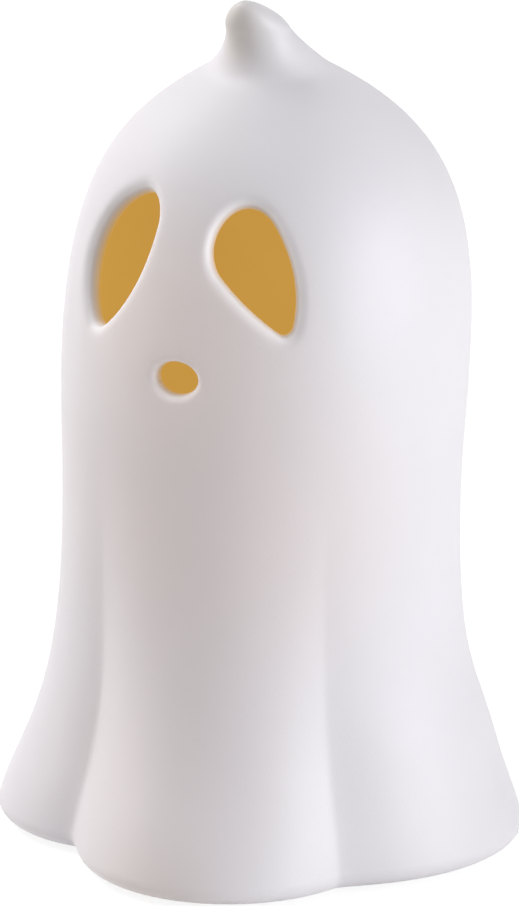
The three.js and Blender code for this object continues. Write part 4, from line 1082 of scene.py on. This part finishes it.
# %% Grip ring
LIP = 1.1
LIP_ROOT = 2.5
LIP_FLAT = 0.7
RING_HEIGHT = 7.0
SKIRT_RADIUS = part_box("housing_cover")[1].x / MM
ring_outside = ring_high.x / MM
ring_inside = SKIRT_RADIUS + SEAT_GAP
sleeve = ring_outside - LIP
ring_section = [(ring_inside, 0, 0.2), (sleeve, 0, 0.3)]
for lip_middle in (RING_HEIGHT / 4, RING_HEIGHT * 3 / 4):
    for radius, away in ((sleeve, -LIP_ROOT), (ring_outside, -LIP_FLAT), (ring_outside, LIP_FLAT), (sleeve, LIP_ROOT)):
        ring_section.append((radius, lip_middle + away / 2, 0.3))
ring_section += [(sleeve, RING_HEIGHT, 0.3), (ring_inside, RING_HEIGHT, 0.2)]
grip = turned_piece(eased(ring_section), ROUND_STEPS)
finished(lifted(grip, 0, 0, ring_low.z / MM), "grip_ring", 60)

# %% [markdown]
# ### Cover and housing
#
# The cover is a disc with a lip that drops into the skirt, a collar round the lamp and a low ring round which the
# dome sits. The housing is one moulding: a flange with two finger notches, a skirt, the battery bay, three posts
# for the cover's screws and two standoffs for the board.

# %% Cover
POST_ANGLES = (45, 135, 270)
POST_REACH = 25.03
HOLE_RADIUS = 1.4
COVER_THICKNESS = 1.8
COVER_LIP = (1.2, 3)  # wall and depth
COVER_LIP_ROOM = 2.1  # from the skirt's outside to the lip
LOCATING_RING = (1.6, 1.5)  # wall and height
COLLAR = (2.4, 3)  # wall and height
LAMP_ROOM = 0.4
HOLE_CUT_TOP = 3
THROUGH = 1  # how far other cutters run past what they cut

post_places = []
for angle in map(math.radians, POST_ANGLES):
    post_places.append((POST_REACH * math.cos(angle), POST_REACH * math.sin(angle)))
lip_outside = SKIRT_RADIUS - COVER_LIP_ROOM
lip_inside = lip_outside - COVER_LIP[0]
ring_edge = dome_inside - SEAT_GAP
ring_top = COVER_THICKNESS + LOCATING_RING[1]
collar_inside = LAMP_RIM[0] + LAMP_ROOM
collar_top = COVER_THICKNESS + COLLAR[1]
cover_section = [
    (collar_inside, 0, 0.15),
    (lip_inside, 0, 0.3),
    (lip_inside, -COVER_LIP[1], 0.3),
    (lip_outside, -COVER_LIP[1], 0.4),
    (lip_outside, 0, 0.1),
    (SKIRT_RADIUS, 0, 0.2),
    (SKIRT_RADIUS, COVER_THICKNESS, 0.7),
    (ring_edge, COVER_THICKNESS, 0.2),
    (ring_edge, ring_top, 0.3),
    (ring_edge - LOCATING_RING[0], ring_top, 0.3),
    (ring_edge - LOCATING_RING[0], COVER_THICKNESS, 0.2),
    (collar_inside + COLLAR[0], COVER_THICKNESS, 0.3),
    (collar_inside + COLLAR[0], collar_top, 0.4),
    (collar_inside, collar_top, 0.3),
]
cover = turned_piece(eased(cover_section), ROUND_STEPS)
holes = [rod(HOLE_RADIUS, -THROUGH, HOLE_CUT_TOP, place) for place in post_places]
combine(cover, holes, "DIFFERENCE")
finished(lifted(cover, 0, 0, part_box("housing_cover")[0].z / MM + COVER_LIP[1]), "housing_cover")

# %% Housing
FLANGE_RADIUS = flange_high.x / MM
FLANGE_THICKNESS = 3.2
SKIRT_INSIDE = SKIRT_RADIUS - 1.8
SKIRT_HEIGHT = (flange_high.z - flange_low.z) / MM
BAY_HALF = (26.45, 16.6)
BAY_WALL = 1.2
BAY_ROOF = (13.1, 14.5)  # underside and top
POST_RADIUS = 3
POST_HOLE_DEPTH = 7.5
STANDOFF_RADIUS = 2.2
STANDOFF_HEIGHT = 1.7
HINGE = (-29.35, 1.4)  # x and height of the door's axis
BARREL_ROOM = 1.7
PIN = (0.7, 1.4)  # the door's pins, radius and length
PIN_HOLE = 1
PIN_ENTRY = 1.1  # the slot that a pin snaps in through is narrower than the pin
DOOR_HALF = 17.8
DOOR_THICKNESS = 1.6
LATCH_HALF = 4.5
SWITCH_Y = 24.1
SLIDE_HOLLOW = (4.6, 2.3, 1.2)  # half its length, half its width, and its depth
SLIDE_SLOT = (3.3, 1.1)
TAB_SLOT = (8.5, 13.1)  # from and to in y
TAB_WIDTH = 1
NOTCH_RADIUS = 9
NOTCH_DEPTH = 3
standoffs = [(-12.5, -9.5), (12.5, 9.5)]

housing_low = flange_low.z / MM
housing_section = [
    (0, 0),
    (FLANGE_RADIUS, 0, 1.0),
    (FLANGE_RADIUS, FLANGE_THICKNESS, 0.7),
    (SKIRT_RADIUS, FLANGE_THICKNESS, 0.25),
    (SKIRT_RADIUS, SKIRT_HEIGHT, 0.3),
    (SKIRT_INSIDE, SKIRT_HEIGHT, 0.3),
    (SKIRT_INSIDE, FLANGE_THICKNESS),
    (0, FLANGE_THICKNESS),
]
housing = turned_piece(eased(housing_section), ROUND_STEPS)
bay_x, bay_y = BAY_HALF
door_end = bay_x + BAY_WALL
added = [block((-door_end, -bay_y - BAY_WALL, 1), (door_end, bay_y + BAY_WALL, BAY_ROOF[1]), 0.3)]
added += [rod(POST_RADIUS, FLANGE_THICKNESS / 2, SKIRT_HEIGHT - 0.01, place) for place in post_places]
added += [rod(STANDOFF_RADIUS, BAY_ROOF[0] + 0.5, BAY_ROOF[1] + STANDOFF_HEIGHT, place) for place in standoffs]
combine(housing, added, "UNION")

hinge_x, hinge_height = HINGE
door_room = DOOR_HALF + SEAT_GAP
latch_room = LATCH_HALF + SEAT_GAP
door_seat = DOOR_THICKNESS + SEAT_GAP
pin_reach = DOOR_HALF + PIN[1] + SEAT_GAP
slide_x, slide_y, slide_depth = SLIDE_HOLLOW
slot_x, slot_y = SLIDE_SLOT
removed = [
    block((-bay_x, -bay_y, -THROUGH), (bay_x, bay_y, BAY_ROOF[0])),
    block((hinge_x, -door_room, -THROUGH), (door_end + SEAT_GAP, door_room, door_seat)),
    block((hinge_x - BARREL_ROOM, -door_room, -THROUGH), (hinge_x + BARREL_ROOM, door_room, 2 * hinge_height)),
    along_y(rod(PIN_HOLE, -pin_reach, pin_reach), hinge_x, hinge_height),
    block((hinge_x - PIN_ENTRY / 2, -pin_reach, -THROUGH), (hinge_x + PIN_ENTRY / 2, pin_reach, hinge_height)),
    block((door_end, -latch_room, -THROUGH), (door_end + 1, latch_room, door_seat)),
    block((-slide_x, SWITCH_Y - slide_y, -THROUGH), (slide_x, SWITCH_Y + slide_y, slide_depth)),
    block((-slot_x, SWITCH_Y - slot_y, 0), (slot_x, SWITCH_Y + slot_y, FLANGE_THICKNESS + THROUGH)),
    block((-bay_x, -TAB_SLOT[1], 12), (-bay_x + TAB_WIDTH, -TAB_SLOT[0], BAY_ROOF[1] + THROUGH)),
    block((bay_x - TAB_WIDTH, TAB_SLOT[0], 12), (bay_x, TAB_SLOT[1], BAY_ROOF[1] + THROUGH)),
]
for side in (-1, 1):
    notch_place = (0, side * (FLANGE_RADIUS + NOTCH_RADIUS - NOTCH_DEPTH))
    removed.append(rod(NOTCH_RADIUS, -THROUGH, FLANGE_THICKNESS + THROUGH, notch_place, 96))
post_hole = (HOLE_RADIUS, SKIRT_HEIGHT - POST_HOLE_DEPTH, SKIRT_HEIGHT + THROUGH)
removed += [rod(*post_hole, place, 32) for place in post_places]
removed += [rod(1.1, 13.4, 17.5, place, 32) for place in standoffs]
combine(housing, removed, "DIFFERENCE")
finished(lifted(housing, 0, 0, housing_low), "light_housing")

# %% [markdown]
# ### Door, knob and the marks beside the switch
#
# The door turns on a barrel with two pins, and a tongue between two slits is its latch. The knob slides between
# three places: on, off in the middle, and on for six hours. The marks are raised on the flange and read from
# below.

# %% Door
BARREL_RADIUS = 1.1
LATCH_LENGTH = 8
LATCH_NOSE = 0.7
LATCH_SLIT = 0.8
NAIL_RIBS = (1.8, 3, 4.2)  # how far in from the door's end

door = block((hinge_x, -DOOR_HALF, 0), (door_end, DOOR_HALF, DOOR_THICKNESS), 0.3)
pin_end = DOOR_HALF + PIN[1]
added = [
    along_y(rod(BARREL_RADIUS, -DOOR_HALF, DOOR_HALF), hinge_x, hinge_height),
    along_y(rod(PIN[0], -pin_end, pin_end, steps=32), hinge_x, hinge_height),
    block((door_end - LATCH_NOSE, -LATCH_HALF, 0), (door_end + LATCH_NOSE, LATCH_HALF, DOOR_THICKNESS), 0.2),
]
for x in NAIL_RIBS:
    added.append(block((door_end - x - 0.3, -3, -0.3), (door_end - x + 0.3, 3, 0.5), 0.12))
combine(door, added, "UNION")
slits = []
for low_y in (-LATCH_HALF - LATCH_SLIT, LATCH_HALF):
    slit_end = (door_end + LATCH_NOSE + THROUGH, low_y + LATCH_SLIT, 3)
    slits.append(block((door_end - LATCH_LENGTH, low_y, -THROUGH), slit_end))
combine(door, slits, "DIFFERENCE")
finished(lifted(door, 0, 0, housing_low), "battery_door")

# %% Knob
KNOB_X = -2  # its place at rest
KNOB_HALF = (2.3, 2)
STEM_HALF = (1, 0.8)
KNOB_GROOVES = (-1.15, 0, 1.15)

knob = block((-KNOB_HALF[0], -KNOB_HALF[1], -1), (*KNOB_HALF, 0.9), 0.2)
combine(knob, [block((-STEM_HALF[0], -STEM_HALF[1], 0), (*STEM_HALF, 4.8), 0.1)], "UNION")
grooves = [block((x - 0.25, -4, -2), (x + 0.25, 4, -0.5)) for x in KNOB_GROOVES]
combine(knob, grooves, "DIFFERENCE")
finished(lifted(knob, KNOB_X, SWITCH_Y, housing_low), "switch_knob")

# %% Marks
MARK_SIZE = 2.6
MARK_RELIEF = 0.12
MARK_Y = SWITCH_Y + 4.6


def marked(word, name, size, place, material):
    """A flat word in the XY plane, made a mesh and laid by place."""
    let_go()
    bpy.ops.object.text_add()
    mark = bpy.context.object
    mark.data.body = word
    mark.data.align_x = mark.data.align_y = "CENTER"
    mark.data.size = size * MM
    mark.data.extrude = MARK_RELIEF * MM
    hold(mark)
    bpy.ops.object.convert(target="MESH")
    mark = moved(bpy.context.object, place)
    mark.name = name
    dress(made_solid(mark), material)
    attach(mark, "light_unit")


for word, x in (("ON", -4.6), ("OFF", 0), ("6", 4.4)):

    def on_flange(corner, x=x):
        return np.array((x + corner[0], MARK_Y - corner[1], housing_low - corner[2]))

    marked(word, "mark_" + word, MARK_SIZE, on_flange, white_plastic)
print("the marks are raised")

# %% [markdown]
# ### Cells, springs and screws
#
# A cell is a steel can in a printed jacket: the jacket ends in a rolled lip, the plus end has a nub and a bright
# band next to it. Each repeated piece is modelled once, and its copies have meshes of their own.

# %% Cells
CELL_RADIUS = 5.25
CELL_LENGTH = 44.5
NUB = (1.9, 0.9)  # radius and height
BARE_RADIUS = 4.7  # the ends are bare metal up to here
JACKET_RADIUS = 5  # and the side is printed from here on
BAND_START = 30
SIGN_SIZE = 6
SIGN_FROM_END = 7
CONTACT_THICKNESS = 0.4
cell_print = moulded("cell_print", (228, 224, 206), (216, 212, 192), 0.45)
cell_band = moulded("cell_band", (208, 176, 96), (196, 164, 86), 0.3, metallic=1.0)
can_length = CELL_LENGTH - NUB[1]
cell_section = [
    (0, 0.15),
    (3.4, 0.15, 0.1),
    (3.6, 0, 0.1),
    (4.3, 0.05, 0.2),
    (4.5, 0.35, 0.1),
    (4.8, 0, 0.15),
    (CELL_RADIUS, 0, 0.4),
    (CELL_RADIUS, can_length, 0.5),
    (4.6, can_length, 0.2),
    (4.5, can_length - 0.3, 0.1),
    (NUB[0], can_length - 0.3, 0.15),
    (NUB[0], CELL_LENGTH, 0.3),
    (0, CELL_LENGTH),
]
first_cell = turned_piece(eased(cell_section), 64)
for material in (cell_jacket, nickel, cell_band):
    first_cell.data.materials.append(material)
pick(first_cell, "FACE", lambda face: face.calc_center_median().xy.length > JACKET_RADIUS * MM)
bpy.ops.mesh.bisect(plane_co=(0, 0, BAND_START * MM), plane_no=(0, 0, 1))
bpy.ops.object.mode_set(mode="OBJECT")
for face in first_cell.data.polygons:
    out = face.center.xy.length / MM
    if out < BARE_RADIUS:
        face.material_index = 1
    elif out > JACKET_RADIUS and face.center.z > BAND_START * MM:
        face.material_index = 2

end_face = BAY_HALF[0] - CONTACT_THICKNESS - 2 * SEAT_GAP  # where a cell's nub ends, in x
row_pitch = 2 * CELL_RADIUS + SEAT_GAP
cell_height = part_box("battery_1")[0].z / MM + CELL_RADIUS
rows = {1: (-1, -row_pitch), 2: (1, 0), 3: (-1, row_pitch)}  # the side of each plus end, and the row's y
for number, (side, across) in rows.items():

    def laid(corner, side=side, across=across):
        x, y, z = corner
        return np.array((side * (end_face - CELL_LENGTH + z), across + side * y, cell_height + x))

    finished(moved(copy_of(first_cell), laid), f"battery_{number}")
    for word, name, along_cell in (("+", "plus", can_length - SIGN_FROM_END), ("\u2212", "minus", SIGN_FROM_END)):

        def round_cell(corner, laid=laid, along_cell=along_cell):
            out = CELL_RADIUS + corner[2]
            angle = corner[1] / CELL_RADIUS
            return laid((-out * math.cos(angle), out * math.sin(angle), along_cell + corner[0]))

        marked(word, f"cell_{number}_{name}", SIGN_SIZE, round_cell, cell_print)
bpy.data.objects.remove(first_cell)

# %% Contact springs
SPRING_LENGTH = 6.1
SPRING_WIRE = 0.8
SPRING_RADII = (3.9, 2.5)
SPRING_TURNS = 3.5
SPRING_STEPS = 28  # a turn

line = bpy.data.curves.new("spring_line", "CURVE")
line.dimensions = "3D"
line.bevel_depth = SPRING_WIRE / 2 * MM
line.bevel_resolution = 3
line.use_fill_caps = True
path = line.splines.new("POLY")
shares = np.linspace(0, 1, int(SPRING_TURNS * SPRING_STEPS) + 1)
path.points.add(len(shares) - 1)
for share, point in zip(shares, path.points):
    radius = SPRING_RADII[0] + (SPRING_RADII[1] - SPRING_RADII[0]) * share
    angle = 2 * math.pi * SPRING_TURNS * share
    height = SPRING_WIRE / 2 + (SPRING_LENGTH - SPRING_WIRE) * share
    point.co = (radius * math.cos(angle) * MM, radius * math.sin(angle) * MM, height * MM, 1)
hold(link(bpy.data.objects.new("spring", line)))
bpy.ops.object.convert(target="MESH")
first_spring = made_solid(bpy.context.object)
for number, (side, across) in rows.items():

    def turned_over(corner, side=side, across=across):
        x, y, z = corner
        return np.array((side * (z - end_face), across + y, cell_height - side * x))

    finished(moved(copy_of(first_spring), turned_over), f"contact_spring_{number}", 60)
bpy.data.objects.remove(first_spring)

# %% Screws
THREAD_PITCH = 0.9
THREAD_ROOT = 0.78  # of the shank's radius, as the next four are of the head's
PAN_EDGE = 0.55
PAN_TOP = 0.7
RECESS_REACH = 0.55
RECESS_HALF = 0.12
RECESS_FLOOR = 0.4  # of the head's height
SCREWS = {"cover_screw_": (3, 2.3, 1.5, 1.1, 9), "board_screw_": (2, 1.9, 1.1, 0.8, 4)}  # how many, then the sizes


def screw(head, tall, shank, length):
    """A pan-head screw whose head's underside is at the origin, with a thread and a cross recess."""
    thread = []
    height = -0.6
    while height > -length + shank:
        thread += [(shank, height), (shank * THREAD_ROOT, height - THREAD_PITCH / 2)]
        height -= THREAD_PITCH
    pan = eased([(head, 0, 0.1), (head, tall * PAN_EDGE, 0.3), (head * PAN_TOP, tall, 0.5)])
    section = [(0, -length), (shank / 3, -length), *thread[::-1], (shank, -0.2), *pan, (0, tall)]
    piece = turned_piece(section, 48)
    reach, half = head * RECESS_REACH, head * RECESS_HALF
    arms = [
        block((-x, -y, tall * RECESS_FLOOR), (x, y, tall + THROUGH)) for x, y in ((reach, half), (half, reach))
    ]
    return combine(piece, arms, "DIFFERENCE")


for prefix, (count, *sizes) in SCREWS.items():
    first_screw = screw(*sizes)
    for number in range(1, count + 1):
        low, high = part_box(f"{prefix}{number}")
        middle = (low + high) / 2 / MM
        one = lifted(copy_of(first_screw), middle.x, middle.y, low.z / MM + sizes[-1])
        finished(one, f"{prefix}{number}")
    bpy.data.objects.remove(first_screw)

# %% Foot pads
for place in ("front", "right", "back", "left"):
    low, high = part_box(f"foot_pad_{place}")
    middle = (low + high) / 2 / MM
    height = (high.z - low.z) / MM
    radius = (high.x - low.x) / MM / 2
    pad = turned_piece(eased([(0, 0), (radius, 0, 0.35), (radius, height, 0.2), (0, height)]), 64)
    finished(lifted(pad, middle.x, middle.y, low.z / MM), f"foot_pad_{place}", 60)

# %% [markdown]
# ## Studio
#
# Soft square lights stand on both sides of the ghost, the strongest on the right, so that the middle, which faces
# the camera, is a little darker than its sides. Each one's share was found from pictures lit by one light alone,
# as the mix that comes nearest to the photograph's shading, and most are tinted a very little cool or warm. One
# more light stands under the floor, which hides it from all that stands on the floor: it lights the light unit
# where that is pulled out downwards. The floor keeps the ghost's shadow. Further out its paper fades to plain
# white, and so does the sky for the camera, so that no edge shows between them.

# %% Lights
LIGHT_SIZE = 0.8
LIGHT_DISTANCE = 1.1
LIGHT_MIDDLE = Vector((0, 0, 0.1))
WARM = (1.07, 1.01, 0.92)
COOL = (0.974, 1.0, 1.026)
PLAIN = (1.0, 1.0, 1.0)
LIGHTS = {  # azimuth from the camera towards the right, elevation, power in watts, and tint
    "back_left": (-120, 45, 6.1, COOL),
    "front_top": (-45, 65, 2.4, COOL),
    "left": (-90, 5, 3.7, WARM),
    "high_left": (-90, 65, 1.7, COOL),
    "right": (60, 5, 11.5, COOL),
    "low_right": (90, 5, 1.2, COOL),
    "below": (0, -85, 6.0, PLAIN),
}

for name, (azimuth, elevation, power, tint) in LIGHTS.items():
    light = link(bpy.data.objects.new(name, bpy.data.lights.new(name, "AREA")))
    light.data.shape = "SQUARE"
    light.data.size = LIGHT_SIZE
    light.data.energy = power
    light.data.color = tint
    away = seen_from(AZIMUTH + math.radians(azimuth), math.radians(elevation))
    facing = away.to_track_quat("Z", "Y").to_matrix().to_4x4()
    light.matrix_world = Matrix.Translation(LIGHT_MIDDLE + away * LIGHT_DISTANCE) @ facing
print("the studio has", len(LIGHTS), "lights")

# %% The sky
SKY = 0.01


def background_rays(tree):
    """A socket that is 1 for the rays that see the background straight on, in gloss or through glass."""
    rays = add(tree, "ShaderNodeLightPath").outputs
    sum_of = rays["Is Camera Ray"]
    for kind in ("Is Glossy Ray", "Is Transmission Ray"):
        larger = add(tree, "ShaderNodeMath", operation="MAXIMUM")
        feed(tree, larger.inputs[0], sum_of)
        feed(tree, larger.inputs[1], rays[kind])
        sum_of = larger.outputs[0]
    return sum_of


def choice(tree, factor, first, second):
    """A shader that is the first where the factor is 0, and the second where it is 1."""
    node = add(tree, "ShaderNodeMixShader", Fac=factor)
    feed(tree, node.inputs[1], first.outputs[0])
    feed(tree, node.inputs[2], second.outputs[0])
    return node


world = bpy.data.worlds.new("studio")
bpy.context.scene.world = world
world.use_nodes = True
sky = world.node_tree
dim = sky.nodes["Background"]
dim.inputs["Color"].default_value = grey(1)
dim.inputs["Strength"].default_value = SKY
white = add(sky, "ShaderNodeBackground", Strength=1.0, Color=grey(1))
seen = choice(sky, background_rays(sky), dim, white)
feed(sky, sky.nodes["World Output"].inputs["Surface"], seen.outputs[0])

# %% The floor
FLOOR_COLOUR = 0.85
SHADOW_SHARE = 0.37  # how much of the floor's own shading the camera sees
PAPER_GLOW = 0.86  # what is laid over it, so that the floor is just white where it is lit
PAPER_NEAR, PAPER_FAR = 0.25, 0.7  # m; between them the glow grows to plain white

let_go()
bpy.ops.mesh.primitive_plane_add(size=6)
floor = bpy.context.object
floor.name = "floor"
floor_paint, tree, shader = new_material("floor_paint")
shader.inputs["Base Color"].default_value = grey(FLOOR_COLOUR)
shader.inputs["Roughness"].default_value = 0.9
shown = add(tree, "ShaderNodeBsdfDiffuse", Color=grey(FLOOR_COLOUR * SHADOW_SHARE))
away = add(tree, "ShaderNodeVectorMath", operation="LENGTH")
feed(tree, away.inputs[0], object_place(tree))
glow = graded(tree, away.outputs["Value"], PAPER_NEAR, PAPER_FAR, PAPER_GLOW)
paper = add(tree, "ShaderNodeEmission", Color=grey(1), Strength=glow)
white_floor = add(tree, "ShaderNodeAddShader")
feed(tree, white_floor.inputs[0], shown.outputs[0])
feed(tree, white_floor.inputs[1], paper.outputs[0])
by_ray = choice(tree, background_rays(tree), shader, white_floor)
under = add(tree, "ShaderNodeNewGeometry").outputs["Backfacing"]
one_sided = choice(tree, under, by_ray, add(tree, "ShaderNodeBsdfTransparent"))
feed(tree, tree.nodes["Material Output"].inputs["Surface"], one_sided.outputs[0])
dress(floor, floor_paint)
floor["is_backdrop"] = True

bpy.context.scene.view_settings.view_transform = "Standard"
print("the floor is white from above and clear from below")

# %% The size, and the end
low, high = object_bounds()
